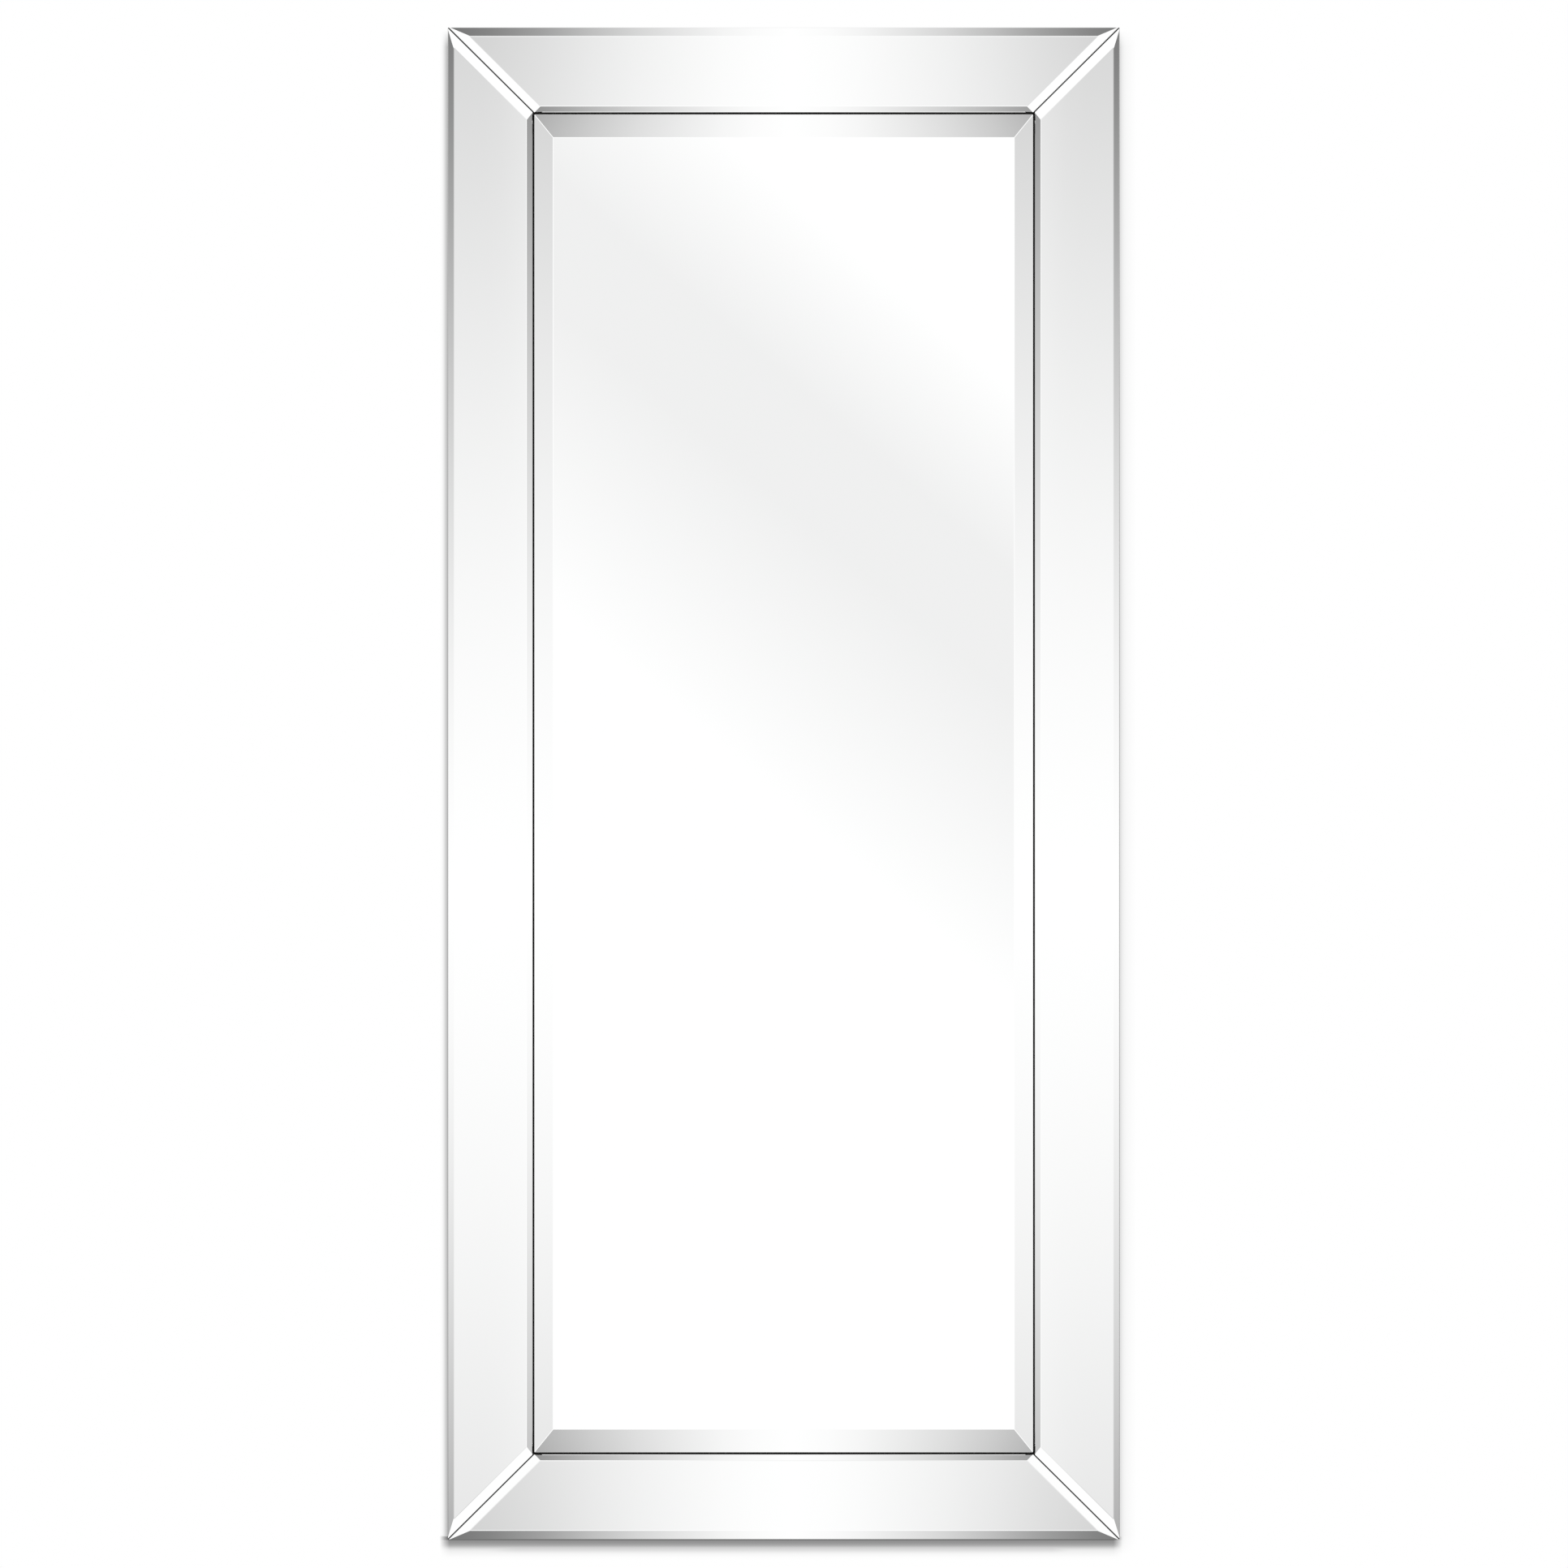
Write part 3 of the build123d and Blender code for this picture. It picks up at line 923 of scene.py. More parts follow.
class GeometryTree(NodeTree):
    """A Geometry Nodes tree whose inputs have names."""

    def __init__(self, name: str, inputs: dict[str, str]) -> None:
        """Starts the tree.

        Args:
            name: The tree's name.
            inputs: The type of each input after the geometry, by name.
        """
        super().__init__(bpy.data.node_groups.new(name, "GeometryNodeTree"))
        face = self.tree.interface
        face.new_socket(name="Seats", in_out="INPUT", socket_type="NodeSocketGeometry")
        for label, kind in inputs.items():
            face.new_socket(name=label, in_out="INPUT", socket_type=f"NodeSocket{kind}")
        face.new_socket(name="Pieces", in_out="OUTPUT", socket_type="NodeSocketGeometry")
        self.source = self.tree.nodes.new("NodeGroupInput")

    def given(self, label: str) -> Channel:
        """One of the tree's inputs, by name."""
        return Channel(self, self.source.outputs[label])

    def close(self, pieces: Channel) -> None:
        """Ends the tree in real geometry with its material.

        Args:
            pieces: The pieces made.
        """
        real = self.add("GeometryNodeRealizeInstances", None, {"Geometry": pieces})
        finish = {"Geometry": real, "Material": self.given("Finish")}
        dressed = self.add("GeometryNodeSetMaterial", None, finish)
        self.add("NodeGroupOutput", None, {"Pieces": dressed})

    def moved(self, shape: Channel, x: Value = 0.0, y: Value = 0.0, z: Value = 0.0) -> Channel:
        """A shape moved by these distances."""
        shift = self.vector(x, y, z)
        return self.add("GeometryNodeTransform", None, {"Geometry": shape, "Translation": shift})

    def vector(self, x: Value, y: Value, z: Value) -> Channel:
        """A vector from its parts."""
        return self.add("ShaderNodeCombineXYZ", None, {0: x, 1: y, 2: z})

    def cylinder(self, sides: int, rows: int, radius: Channel, depth: Channel) -> Channel:
        """A cylinder about Z, with its foot on the XY plane.

        Args:
            sides: How many sides it has.
            rows: How many rows of faces go round it.
            radius: Its radius.
            depth: Its height.

        Returns:
            The cylinder.
        """
        made = self.add(
            "GeometryNodeMeshCylinder",
            {"fill_type": "TRIANGLE_FAN"},
            {
                "Vertices": sides,
                "Side Segments": rows,
                "Fill Segments": TURNED_RINGS,
                "Radius": radius,
                "Depth": depth,
            },
            "Mesh",
        )
        return self.moved(made, z=depth * 0.5)

    def joined(self, *shapes: Channel) -> Channel:
        """Several shapes as one.

        Args:
            shapes: The shapes.

        Returns:
            The joined shape.
        """
        made = self.add("GeometryNodeJoinGeometry")
        for shape in shapes:
            self.tree.links.new(shape.socket, made.socket.node.inputs[0])
        return made

    def turned(self, radius: Channel, rise: Channel, shoulder: float, power: float, crown: float) -> Channel:
        """A round head or bumper that narrows towards its crowned top.

        Args:
            radius: Its radius at the foot.
            rise: Its height.
            shoulder: Share of the radius lost at the top.
            power: How late on the way up the radius is lost.
            crown: Share of the height that the top curves by.

        Returns:
            The shape, on the XY plane.
        """
        x, y, z = self.split(self.add("GeometryNodeInputPosition"))
        climb = z / rise
        spread = ((x * x + y * y) ** 0.5 / radius).at_most(1.0)
        narrow = 1.0 - climb ** power * shoulder
        height = rise * climb * (1.0 - spread * spread * crown)
        return self.add(
            "GeometryNodeSetPosition",
            None,
            {
                "Geometry": self.cylinder(TURNED_SIDES, TURNED_ROWS, radius, rise),
                "Position": self.vector(x * narrow, y * narrow, height),
            },
        )

    def on_seats(self, shape: Channel, spin: float) -> Channel:
        """The shape on every seat, turned so that its top faces the wall.

        Args:
            shape: The shape, with its top towards +Z.
            spin: The most that it is turned at random about its own axis.

        Returns:
            The instances.
        """
        placed = self.add(
            "GeometryNodeInstanceOnPoints",
            None,
            {"Points": self.given("Seats"), "Instance": shape, "Rotation": (-math.pi / 2, 0.0, 0.0)},
        )
        limits = {2: 0.0, 3: spin, 8: self.given("Seed")}
        chance = self.add("FunctionNodeRandomValue", {"data_type": "FLOAT"}, limits, 1)
        return self.add(
            "GeometryNodeRotateInstances",
            None,
            {"Instances": placed, "Rotation": self.vector(0.0, 0.0, chance), "Local Space": True},
        )


def grown(
    name: str,
    tree: GeometryTree,
    seats: Sequence[Vector],
    values: dict[str, Any],
    loop: bool = False,
    sharp: float = 30.0,
) -> bpy.types.Mesh:
    """Runs a Geometry Nodes tree and takes its result as a plain mesh.

    Args:
        name: A name for the working object.
        tree: The tree.
        seats: The points that it starts from.
        values: Its inputs, by name.
        loop: Whether the points are joined into a closed loop.
        sharp: Edges that turn by more degrees than this stay sharp.

    Returns:
        The mesh.
    """
    start = bpy.data.meshes.new(name)
    edges = [(index, (index + 1) % len(seats)) for index in range(len(seats))] if loop else []
    start.from_pydata([tuple(point) for point in seats], edges, [])
    worker = bpy.data.objects.new(name, start)
    bpy.context.scene.collection.objects.link(worker)
    modifier = worker.modifiers.new("grow", "NODES")
    modifier.node_group = tree.tree
    for socket in tree.tree.interface.items_tree:
        if socket.in_out == "INPUT" and socket.name in values:
            modifier[socket.identifier] = values[socket.name]
    bpy.context.view_layer.update()
    graph = bpy.context.evaluated_depsgraph_get()
    result = bpy.data.meshes.new_from_object(worker.evaluated_get(graph), depsgraph=graph)
    bpy.data.objects.remove(worker)
    shape = bmesh.new()
    shape.from_mesh(result)
    bmesh.ops.remove_doubles(shape, verts=shape.verts, dist=WELD)
    bmesh.ops.recalc_face_normals(shape, faces=shape.faces)
    return mesh_of(shape, math.radians(sharp))


def planted(
    name: str,
    tree: GeometryTree,
    seats: Sequence[Vector],
    values: dict[str, Any],
    finish: Finish,
    riding: Sequence[str],
    **shaping: Any,
) -> bpy.types.Object:
    """Grows a piece of one finish on its seats, and makes it ride.

    Args:
        name: The piece's name.
        tree: The tree that makes it.
        seats: The points that it starts from.
        values: The tree's inputs apart from the finish, by name.
        finish: The finish.
        riding: The body that carries it, its slot and the solids that it stands for.
        shaping: Whether the points are a loop and which edges stay sharp, where grown needs that.

    Returns:
        The piece.
    """
    mesh = grown(name, tree, seats, values | {"Finish": finish.material()}, **shaping)
    return seat(new_piece(name, mesh, [finish]), *riding)


@dataclass
class Screws:
    """Pan-head wood screws with a cross recess."""

    head: float
    rise: float
    shank: float
    length: float
    seed: int
    recess_span: float = 0.58
    recess_width: float = 0.9 * MM
    recess_depth: float = 0.62

    def tree(self) -> GeometryTree:
        """The tree that makes one screw and puts it on every seat.

        Returns:
            The tree.
        """
        sizes = ("Head width", "Head rise", "Shank width", "Shank length", "Recess span", "Recess width")
        inputs = {size: "Float" for size in sizes} | {"Seed": "Int", "Finish": "Material"}
        tree = GeometryTree("screws", inputs)
        rise = tree.given("Head rise")
        head = tree.turned(tree.given("Head width") * 0.5, rise, shoulder=0.42, power=3.0, crown=0.16)
        span, width = tree.given("Recess span"), tree.given("Recess width")
        depth = rise * self.recess_depth * 2.0
        arms = [
            tree.add("GeometryNodeMeshCube", None, {"Size": tree.vector(*size, depth)}, "Mesh")
            for size in ((span, width), (width, span))
        ]
        cross = tree.moved(tree.joined(*arms), z=rise)
        exact = {"operation": "DIFFERENCE", "solver": "EXACT"}
        cut = tree.add("GeometryNodeMeshBoolean", exact, {0: head, 1: cross, 2: True})
        length = tree.given("Shank length")
        shank = tree.cylinder(SHANK_SIDES, 1, tree.given("Shank width") * 0.5, length)
        shank = tree.moved(shank, z=length * -1.0)
        tree.close(tree.on_seats(tree.joined(cut, shank), math.pi / 2))
        return tree

    def build(self, name: str, seats: Sequence[Vector], node: str) -> None:
        """Makes the screws.

        Args:
            name: The piece's name.
            seats: Where their heads sit.
            node: The solids that they stand for.
        """
        values = {
            "Head width": self.head,
            "Head rise": self.rise,
            "Shank width": self.shank,
            "Shank length": self.length,
            "Recess span": self.head * self.recess_span,
            "Recess width": self.recess_width,
            "Seed": self.seed,
        }
        planted(name, self.tree(), seats, values, SCREW_STEEL, ("mirror", "screw_steel", node))


@dataclass
class Hanger:
    """One strap hanger and its D ring."""

    name: str
    place: Matrix
    wire: float = 1.5 * MM
    inner_width: float = 20.0 * MM
    reach: float = 18.0 * MM
    corner: float = 3.5 * MM
    lean: float = math.radians(2.802)
    hinge_height: float = 2.68 * MM
    sheet: float = 1.1 * MM
    holes: Pair = (11.5 * MM, 29.0 * MM)
    softening: float = 0.16 * MM
    corner_steps: int = 10
    bow_steps: int = 56

    def path(self) -> list[Vector]:
        """Points along the middle of the ring's wire.

        Returns:
            The points, in order.
        """
        half = self.inner_width / 2 + self.wire
        bar, shoulder = half - self.corner, self.reach - half
        bends = (
            ((bar, self.corner), self.corner, -90, 0, self.corner_steps),
            ((0.0, shoulder), half, 0, 180, self.bow_steps),
            ((-bar, self.corner), self.corner, 180, 270, self.corner_steps),
        )
        points = []
        for (x, z), radius, start, end, steps in bends:
            for step in range(steps + 1):
                angle = math.radians(start + (end - start) * step / steps)
                points.append(Vector((x + radius * math.cos(angle), 0, z + radius * math.sin(angle))))
        turn = Matrix.Translation((0, self.hinge_height, 0)) @ Matrix.Rotation(self.lean, 4, "X")
        return [self.place @ turn @ point for point in points]

    def tree(self) -> GeometryTree:
        """The tree that gives a closed path its round wire.

        Returns:
            The tree.
        """
        tree = GeometryTree("bent_wire", {"Wire radius": "Float", "Finish": "Material"})
        line = tree.add("GeometryNodeMeshToCurve", None, {"Mesh": tree.given("Seats")})
        size = {"Resolution": WIRE_SIDES, "Radius": tree.given("Wire radius")}
        section = tree.add("GeometryNodeCurvePrimitiveCircle", {"mode": "RADIUS"}, size)
        tree.close(tree.add("GeometryNodeCurveToMesh", None, {"Curve": line, "Profile Curve": section}))
        return tree

    def screw_seats(self) -> list[Vector]:
        """Where this hanger's screw heads sit."""
        return [self.place @ Vector((0, 2 * self.sheet, -hole)) for hole in self.holes]

    def build(self) -> None:
        """Makes the strap and its ring."""
        strap = f"hanger_strap_{self.name}"
        mesh = softened(strap, self.softening, 0.0, math.radians(50))
        seat(new_piece(f"{strap}_steel", mesh, [SHEET_STEEL]), "mirror", "plated_steel", strap)
        ring = f"hanger_ring_{self.name}"
        values = {"Wire radius": self.wire}
        riding = (f"ring_{self.name}", "ring_steel", ring)
        planted(f"{ring}_wire", self.tree(), self.path(), values, WIRE_STEEL, riding, loop=True, sharp=60.0)


@dataclass
class Hardware:
    """Everything of metal or rubber on the back."""

    width: float = WIDTH
    height: float = HEIGHT
    back: float = -BUMPERS
    upright_inset: float = 36.0 * MM
    upright_height: float = 455.0 * MM
    sideways_inset: float = 27.0 * MM
    sideways_height: float = 360.0 * MM
    board_seat: float = -13.554 * MM
    board_inset: float = 81.0 * MM
    board_rows: int = 5
    bumper_inset: Pair = (22.0 * MM, 112.0 * MM)
    bumper_radius: float = 7.0 * MM

    def hangers(self) -> list[Hanger]:
        """The four hangers, at their places.

        Returns:
            The hangers.
        """
        upright = self.width / 2 - self.upright_inset
        sideways = self.width / 2 - self.sideways_inset
        turn = Matrix.Rotation(-math.pi / 2, 4, "Y")
        return [
            Hanger("left", Matrix.Translation((-upright, self.back, self.upright_height))),
            Hanger("right", Matrix.Translation((upright, self.back, self.upright_height))),
            Hanger("upper", Matrix.Translation((-sideways, self.back, self.sideways_height)) @ turn),
            Hanger("lower", Matrix.Translation((-sideways, self.back, -self.sideways_height)) @ turn),
        ]

    def board_seats(self) -> list[Vector]:
        """Where the backing board's screw heads sit.

        Returns:
            The places.
        """
        x, z = self.width / 2 - self.board_inset, self.height / 2 - self.board_inset
        seats = []
        for row in range(self.board_rows):
            level = z * (2 * row / (self.board_rows - 1) - 1)
            seats += [Vector((-x, self.board_seat, level)), Vector((x, self.board_seat, level))]
        return seats + [Vector((0, self.board_seat, -z)), Vector((0, self.board_seat, z))]

    def bumper_tree(self) -> GeometryTree:
        """The tree that moulds a bumper on every seat.

        Returns:
            The tree.
        """
        inputs = {"Radius": "Float", "Rise": "Float", "Seed": "Int", "Finish": "Material"}
        tree = GeometryTree("bumpers", inputs)
        radius, rise = tree.given("Radius"), tree.given("Rise")
        shape = tree.turned(radius, rise, shoulder=0.26, power=5.0, crown=0.04)
        tree.close(tree.on_seats(shape, 0.0))
        return tree

    def bumpers(self) -> None:
        """Makes the wall bumpers."""
        x, z = self.width / 2 - self.bumper_inset[0], self.height / 2 - self.bumper_inset[1]
        seats = [Vector((sx * x, self.back, sz * z)) for sx in (-1, 1) for sz in (-1, 1)]
        values = {"Radius": self.bumper_radius, "Rise": -self.back, "Seed": 1}
        riding = ("mirror", "bumper_rubber", "wall_bumpers")
        planted("wall_bumpers_rubber", self.bumper_tree(), seats, values, BLACK_RUBBER, riding)

    def build(self) -> None:
        """Makes the hangers, all screws and the bumpers."""
        hangers = self.hangers()
        for hanger in hangers:
            hanger.build()
        seats = [place for hanger in hangers for place in hanger.screw_seats()]
        strap_screws = Screws(head=7.2 * MM, rise=2.3 * MM, shank=3.5 * MM, length=13.7 * MM, seed=4)
        strap_screws.build("hanger_screws_steel", seats, "hanger_screws")
        board_screws = Screws(head=6.4 * MM, rise=1.9 * MM, shank=3.0 * MM, length=7.5 * MM, seed=9)
        board_screws.build("backing_screws_steel", self.board_seats(), "backing_screws")
        self.bumpers()


@dataclass
class Padding:
    """Foam tape under the mirrors and foam blocks behind the centre one."""

    mirrors: Mirrors
    strip_tape_width: float = 20.0 * MM
    strip_tape_inset: float = 10.0 * MM
    centre_tape: float = 1.0 * MM
    centre_tape_width: float = 10.0 * MM
    centre_tape_inset: float = 1.5 * MM
    block: float = 60.0 * MM
    block_depth: float = 7.0 * MM
    ledge_back: float = 10.554 * MM
    ledge_inset: float = 92.4 * MM
    columns: int = 2
    rows: int = 4
    pinch: float = 0.3
    block_pinch: float = 0.6

    def run(self, shape: bmesh.types.BMesh, size: Sequence[float], place: Matrix) -> None:
        """Adds a run of tape whose long sides are drawn in where it is pressed.

        Args:
            shape: The shape to add it to.
            size: Its length, width and thickness, along X, Y and Z.
            place: Place of the middle of its foot.
        """
        length, width, thickness = size
        draw = thickness * self.pinch
        profile = []
        for sign in (1, -1):
            for step in range(TAPE_STEPS + 1):
                level = step / TAPE_STEPS if sign > 0 else 1 - step / TAPE_STEPS
                hollow = draw * (2 * level - 1) ** 2
                profile.append((sign * (width / 2 - hollow), level * thickness))
        rings = [
            [shape.verts.new(place @ Vector((end * length / 2, y, z))) for y, z in profile] for end in (-1, 1)
        ]
        count = len(profile)
        for index in range(count):
            after = (index + 1) % count
            shape.faces.new((rings[0][index], rings[1][index], rings[1][after], rings[0][after]))
        shape.faces.new(rings[0])
        shape.faces.new(reversed(rings[1]))

    def closed(self, shape: bmesh.types.BMesh) -> bpy.types.Mesh:
        """Turns runs of tape into a mesh with its faces outwards."""
        bmesh.ops.recalc_face_normals(shape, faces=shape.faces)
        return mesh_of(shape, math.radians(50))

    def strip_tapes(self) -> None:
        """Makes two runs of tape under each strip."""
        shape = bmesh.new()
        width = self.strip_tape_width
        for side in Side:
            start, end = self.mirrors.reaches(side)
            for along in (start + self.strip_tape_inset, end - self.strip_tape_inset - width):
                half = self.mirrors.half_length(side, along + width, self.strip_tape_inset)
                place = self.mirrors.slope_place(side, 0.0) @ Matrix.Translation((0, -along - width / 2, 0))
                self.run(shape, (2 * half, width, self.mirrors.strip_tape), place)
        piece = new_piece("strip_tapes_foam", self.closed(shape), [WHITE_FOAM])
        seat(piece, "mirror", "foam", "strip_tapes")

    def front_place(self, level: float, x: float, z: float) -> Matrix:
        """Place so far in front of the rails' backs, facing the front."""
        axes = Matrix(((1, 0, 0), (0, 0, -1), (0, 1, 0)))
        return Matrix.Translation((x, -self.mirrors.bumpers - level, z)) @ axes.to_4x4()

    def centre_tapes(self) -> None:
        """Makes four runs of tape on the ledge."""
        shape = bmesh.new()
        mirrors, width = self.mirrors, self.centre_tape_width
        half_x = mirrors.width / 2 - mirrors.centre_border[0] - self.centre_tape_inset
        half_z = mirrors.height / 2 - mirrors.centre_border[1] - self.centre_tape_inset
        level = mirrors.centre_back - self.centre_tape
        quarter = Matrix.Rotation(math.pi / 2, 4, "Z")
        for sign in (-1, 1):
            upright = self.front_place(level, sign * (half_x - width / 2), 0) @ quarter
            between = self.front_place(level, 0, sign * (half_z - width / 2))
            self.run(shape, (2 * half_z, width, self.centre_tape), upright)
            self.run(shape, (2 * (half_x - width), width, self.centre_tape), between)
        piece = new_piece("centre_tapes_foam", self.closed(shape), [WHITE_FOAM])
        seat(piece, "mirror", "foam", "centre_tapes")

    def block_tree(self) -> GeometryTree:
        """The tree that puts a pressed foam block on every seat.

        Returns:
            The tree.
        """
        inputs = {"Side": "Float", "Depth": "Float", "Pinch": "Float", "Seed": "Int", "Finish": "Material"}
        tree = GeometryTree("foam_blocks", inputs)
        side, depth = tree.given("Side"), tree.given("Depth")
        cube = tree.add(
            "GeometryNodeMeshCube",
            None,
            {"Size": tree.vector(side, side, depth), "Vertices X": 9, "Vertices Y": 9, "Vertices Z": 7},
            "Mesh",
        )
        x, y, z = tree.split(tree.add("GeometryNodeInputPosition"))
        pressed = z / depth * 2.0
        keep = 1.0 - pressed * pressed * depth * tree.given("Pinch") / side
        place = tree.vector(x * keep, y * keep, z)
        pulled = tree.add("GeometryNodeSetPosition", None, {"Geometry": cube, "Position": place})
        tree.close(tree.on_seats(pulled, 0.0))
        return tree

    def blocks(self) -> None:
        """Makes the foam blocks."""
        mirrors = self.mirrors
        step_x = (mirrors.width - 2 * self.ledge_inset) / self.columns
        step_z = (mirrors.height - 2 * self.ledge_inset) / self.rows
        y = -mirrors.bumpers - self.ledge_back - self.block_depth / 2
        seats = [
            Vector(((column - (self.columns - 1) / 2) * step_x, y, (row - (self.rows - 1) / 2) * step_z))
            for column in range(self.columns)
            for row in range(self.rows)
        ]
        values = {"Side": self.block, "Depth": self.block_depth, "Pinch": self.block_pinch, "Seed": 2}
        riding = ("mirror", "foam", "foam_blocks")
        piece = planted("foam_blocks_white", self.block_tree(), seats, values, WHITE_FOAM, riding)

    def build(self) -> None:
        """Makes all tape and foam."""
        self.strip_tapes()
        self.centre_tapes()
        self.blocks()


@dataclass
class Studio:
    """Camera, white wall, pale floor, lamps and the light that the mirrors reflect."""

    distance: float = 3.952
    front: float = -0.0205
    aim: Pair = (0.00026, -0.00055)
    lens: float = 100.0
    sensor: float = 36.0
    floor_drop: float = 0.35
    floor_reach: float = 4.0
    wall_reach: float = 1.6
    wall_top: float = 1.5
    wall_gap: float = 0.0004
    half_width: float = WIDTH / MM / 2
    half_height: float = HEIGHT / MM / 2
    ambient: float = 0.72
    clear: float = 1.052

    @property
    def floor_level(self) -> float:
        """Height of the floor."""
        return -self.half_height * MM - self.floor_drop

    def camera(self) -> None:
        """Looks straight at the mirror, as the photograph does."""
        data = bpy.data.cameras.new("camera")
        data.lens = self.lens
        data.sensor_width = self.sensor
        data.clip_end = 50.0
        camera = bpy.data.objects.new("camera", data)
        camera.location = (self.aim[0], self.front - self.distance, self.aim[1])
        camera.rotation_euler = (math.pi / 2, 0.0, 0.0)
        bpy.context.scene.collection.objects.link(camera)
        bpy.context.scene.camera = camera

    def lamp(self, name: str, place: Sequence[float], size: float, watts: float) -> None:
        """Adds a soft square lamp that shines at the mirror's middle.

        Args:
            name: Its name.
            place: Where it stands.
            size: The length of its side.
            watts: Its power.
        """
        data = bpy.data.lights.new(name, "AREA")
        data.size = size
        data.energy = watts
        lamp = bpy.data.objects.new(name, data)
        lamp.location = place
        lamp.rotation_euler = (-Vector(place)).to_track_quat("-Z", "Y").to_euler()
        lamp.visible_glossy = False
        bpy.context.scene.collection.objects.link(lamp)

    def panel(
        self, name: str, corners: Sequence[Sequence[float]], material: bpy.types.Material
    ) -> bpy.types.Object:
        """Adds a flat part of the studio.

        Args:
            name: Its name.
            corners: Its corners.
            material: Its material.

        Returns:
            The panel.
        """
        mesh = bpy.data.meshes.new(name)
        mesh.from_pydata(corners, [], [tuple(range(len(corners)))])
        mesh.materials.append(material)
        panel = bpy.data.objects.new(name, mesh)
        bpy.context.scene.collection.objects.link(panel)
        panel.visible_glossy = False
        return panel

    def painted_wall_shadow(self, nodes: NodeTree) -> Channel:
        """Darkness of the mirror's soft shadow, painted on the wall as painted shadow, in steps of 255.

        Args:
            nodes: The wall's tree.

        Returns:
            The darkness.
        """
        x, _, z = nodes.split(nodes.place())
        across, up = x / MM, z / MM
        below, above = -self.half_height - up, up - self.half_height
        left, right = -self.half_width - across, across - self.half_width
        foot = nodes.graph(
            below,
            [
                (0, 0), (1.5, 172), (3.9, 172), (4.8, 112), (6.5, 109), (8, 97), (9.5, 81),
                (11, 54), (12.4, 33), (13.9, 18), (16.8, 9), (19.8, 2), (23, 0),
            ],
        )
        near = nodes.graph(left, [(0, 84), (2.3, 64), (3.1, 54), (4.6, 28), (6, 12), (7.5, 3), (9, 0)])
        tail = [(0, 50), (2.1, 35), (3.6, 21), (4.5, 15), (6, 10), (8, 7), (11, 4), (17, 0)]
        far = nodes.graph(right, tail)
        foot = foot * nodes.fade(above, -40, -20) * nodes.fade(left, 0, 9) * nodes.fade(right, -4, 5)
        sides = near * nodes.fade(right, -60, -30) + far * nodes.fade(left, -60, -30)
        sides = sides * nodes.fade(above, -14, 1) * nodes.fade(below, 0, 18)
        return foot.at_least(sides)

    def wall(self) -> None:
        """White wall behind the mirror, which shows only to the camera and from the front, with the mirror's
        soft shadow painted on it.
        """
        material = bpy.data.materials.new("studio_wall")
        material.use_nodes = True
        nodes = NodeTree(material.node_tree)
        # painted shadow: the wall's glow is dimmed round the mirror's outline
        level = (1.0 - self.painted_wall_shadow(nodes) / STEPS) ** GAMMA
        white = nodes.add("ShaderNodeEmission", None, {"Strength": level})
        clear = nodes.add("ShaderNodeBsdfTransparent")
        behind = nodes.add("ShaderNodeNewGeometry", output="Backfacing")
        mixed = nodes.add("ShaderNodeMixShader", None, {0: behind, 1: white, 2: clear})
        nodes.add("ShaderNodeOutputMaterial", None, {"Surface": mixed})
        x, y, low, high = self.wall_reach, self.wall_gap, self.floor_level, self.wall_top
        wall = self.panel("studio_wall", [(-x, y, low), (x, y, low), (x, y, high), (-x, y, high)], material)
        wall.visible_diffuse = wall.visible_transmission = wall.visible_shadow = False

    def floor(self) -> None:
        """Pale floor below the mirror."""
        material = bpy.data.materials.new("studio_floor")
        material.use_nodes = True
        nodes = NodeTree(material.node_tree)
        mottle = nodes.noise(nodes.place(), 3.0, 3.0)
        colour = nodes.blend(mottle, (0.86, 0.86, 0.86), (0.89, 0.89, 0.885))
        shader = nodes.add("ShaderNodeBsdfDiffuse", None, {"Color": colour})
        nodes.add("ShaderNodeOutputMaterial", None, {"Surface": shader})
        reach, level = self.floor_reach, self.floor_level
        corners = [(sx * reach, sy * reach, level) for sx, sy in ((-1, -1), (1, -1), (1, 1), (-1, 1))]
        self.panel("studio_floor", corners, material)

    def reflected(self, nodes: NodeTree, direction: Channel) -> Channel:
        """The light that a mirror reflects from one direction.

        In front of the mirror the room is white, with soft grey panels to the sides, above and below,
        which shade the bevels, and one broad faint band across the middle.

        Args:
            nodes: The world's tree.
            direction: The direction.

        Returns:
            The light's strength.
        """
        x, y, z = nodes.split(direction)
        side, rise = abs(x), abs(z)
        lift = [
            (0.0, 0.0), (0.29, 0.0), (0.322, 4.3), (0.339, 4.9), (0.386, 10.6), (0.404, 15.0),
            (0.418, 15.0), (0.435, 0.0), (0.56, 0.0), (0.64, 13.8), (0.86, 13.8), (1.0, 0.0),
        ]
        lean = [
            (0.0, 0.0), (0.5, 0.33), (0.9, 0.85), (1.5, 2.0), (2.0, 3.1),
            (2.6, 4.8), (3.25, 7.0), (3.9, 8.9), (4.9, 11.0), (8.0, 11.0),
        ]
        spread = [
            (0.0, 0.0), (0.205, 0.0), (0.236, 0.68), (0.362, 0.84), (0.39, 0.2), (0.45, 0.2), (0.465, 2.0),
            (0.5, 2.0), (0.53, 1.6), (0.7, 1.6), (0.75, 2.2), (1.0, 2.2),
        ]
        ends = nodes.graph(rise, lift) * nodes.graph(abs(x * DEGREES - 0.1), lean)
        ends = ends * nodes.fade(side, 0.085, 0.13)
        sides = nodes.graph(side, spread) * abs(z * DEGREES + 1.4) ** 1.7 * nodes.fade(rise, 0.176, 0.23)
        slant = z + x * 0.857
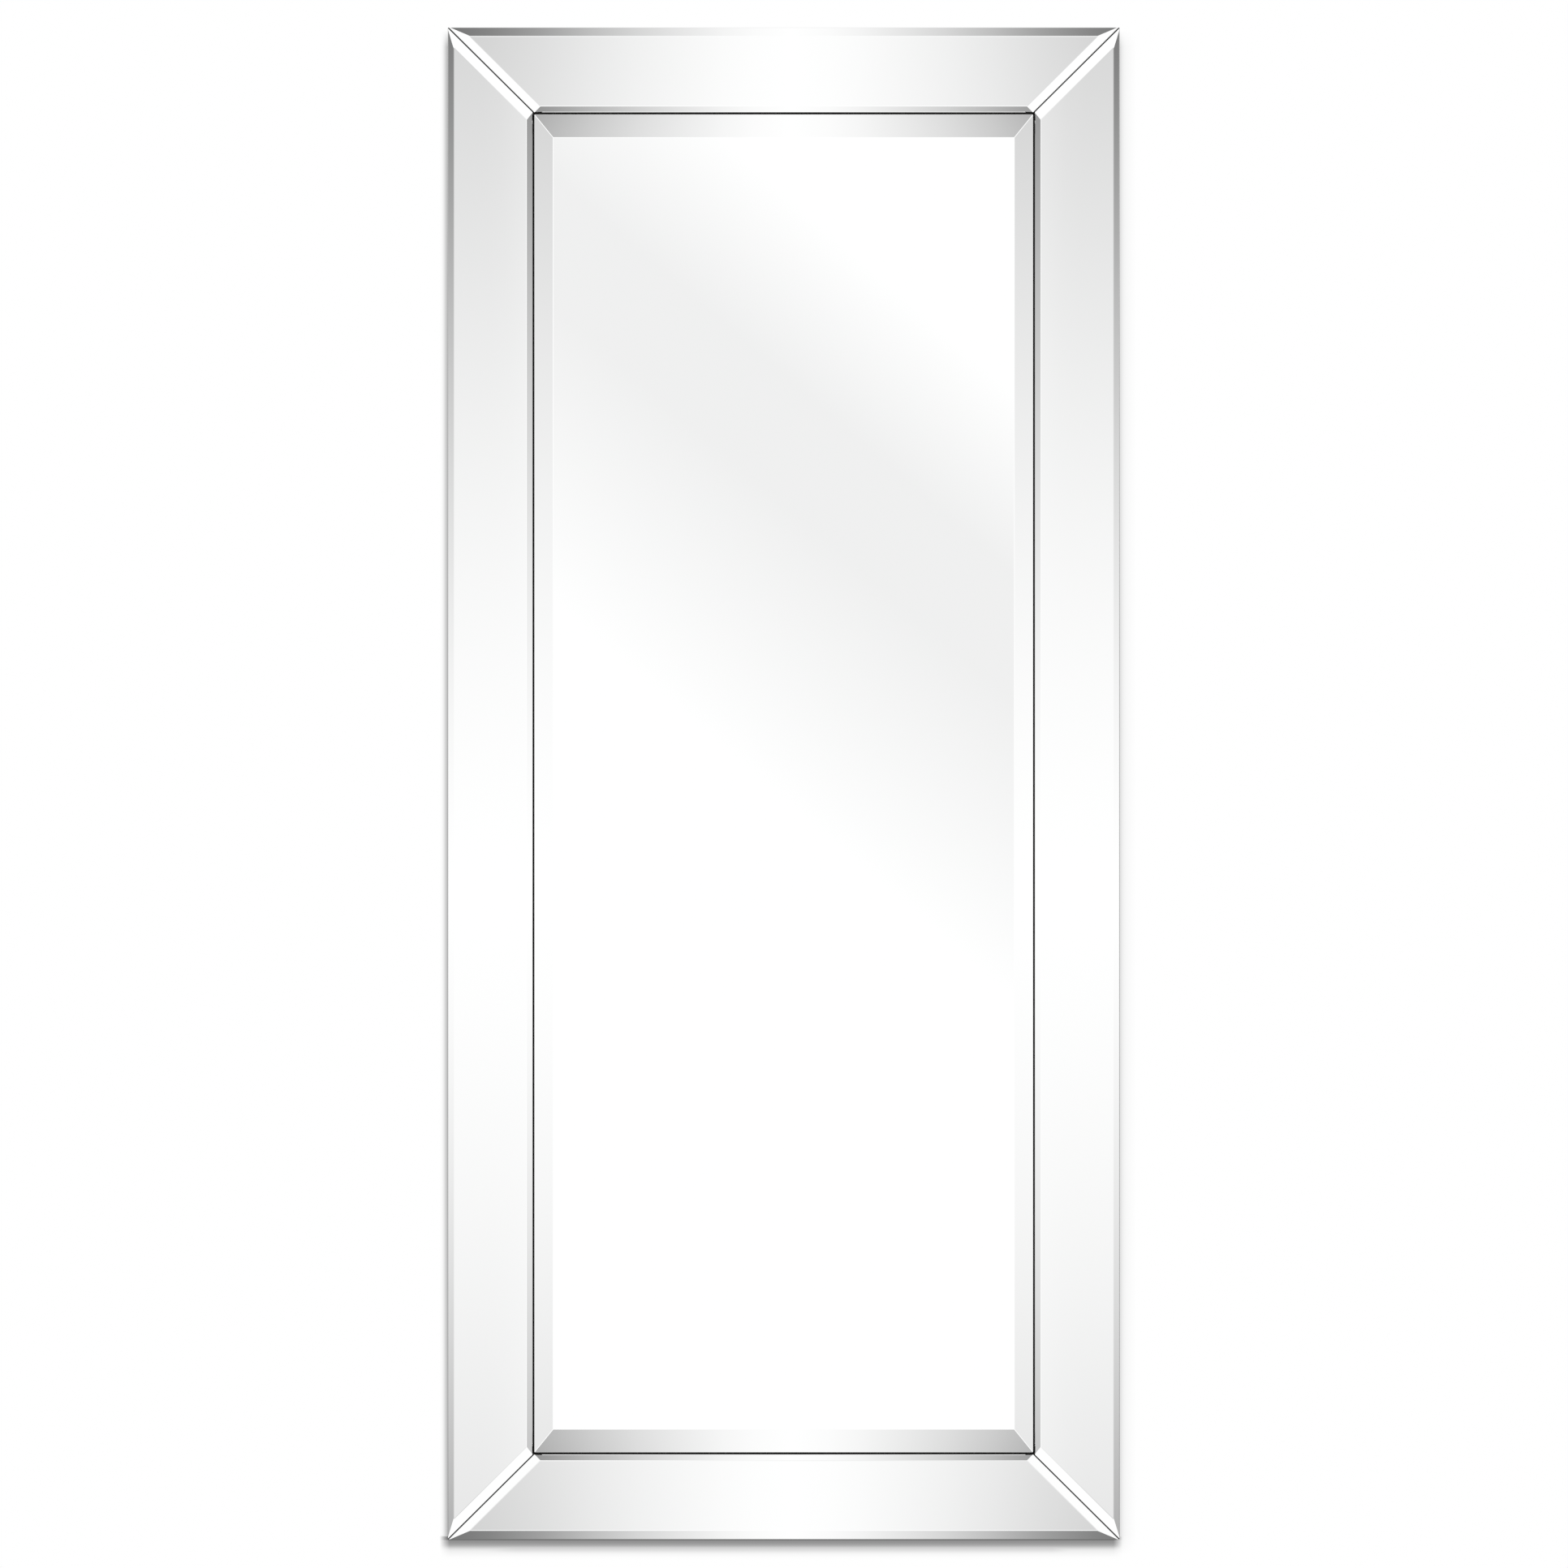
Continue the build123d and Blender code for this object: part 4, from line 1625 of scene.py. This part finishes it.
        band = nodes.graph(slant, [(-0.0045, 0.0), (0.0642, 16.0), (0.0933, 16.0), (0.1347, 0.0)])
        band = band * nodes.fade(side, 0.064, 0.075) * nodes.fade(rise, 0.16, 0.19)
        dark = (ends + sides + band).at_most(150.0)
        front = (1.0 - dark / STEPS) ** GAMMA * self.clear
        room = [(-0.9, 0.35), (-0.25, 0.22), (0.05, 0.5), (0.35, 1.25), (1.0, 0.8)]
        back = nodes.graph(z + y * 0.25 - side * 0.2, room)
        turned = nodes.fade(y, -0.04, 0.06)
        return front * turned + back * (1.0 - turned)

    def world(self) -> None:
        """White to the camera, even for matt surfaces, and shaped for whatever reflects it."""
        world = bpy.data.worlds.new("studio_light")
        world.use_nodes = True
        nodes = NodeTree(world.node_tree)
        path = nodes.add("ShaderNodeLightPath", output="Is Camera Ray")
        outputs = path.socket.node.outputs
        seen = path.at_least(Channel(nodes, outputs["Is Transmission Ray"]))
        glossy = Channel(nodes, outputs["Is Glossy Ray"]) * (1.0 - path)
        direction = nodes.add("ShaderNodeTexCoord", output="Generated")
        plain = seen + (1.0 - seen) * self.ambient
        strength = self.reflected(nodes, direction) * glossy + plain * (1.0 - glossy)
        shader = nodes.add("ShaderNodeBackground", None, {"Strength": strength})
        shader.socket.node.inputs["Color"].default_value = (1.0, 1.0, 1.0, 1.0)
        nodes.add("ShaderNodeOutputWorld", None, {"Surface": shader})
        bpy.context.scene.world = world

    def build(self) -> None:
        """Sets up the camera, the lamps, the wall, the floor and the world."""
        bpy.context.scene.view_settings.view_transform = "Standard"
        self.camera()
        self.lamp("key_lamp", place=(1.7, -3.2, 2.3), size=1.6, watts=60.0)
        self.lamp("back_lamp", place=(-1.4, 3.2, 1.8), size=1.8, watts=60.0)
        self.wall()
        self.floor()
        self.world()


def main() -> None:
    """Builds the studio and the mirror."""
    logging.basicConfig(level=logging.INFO, format="%(name)s: %(message)s")
    Studio().build()
    mirrors = Mirrors()
    mirrors.build()
    Woodwork().build()
    Padding(mirrors).build()
    Hardware().build()


if __name__ == "__main__":
    main()
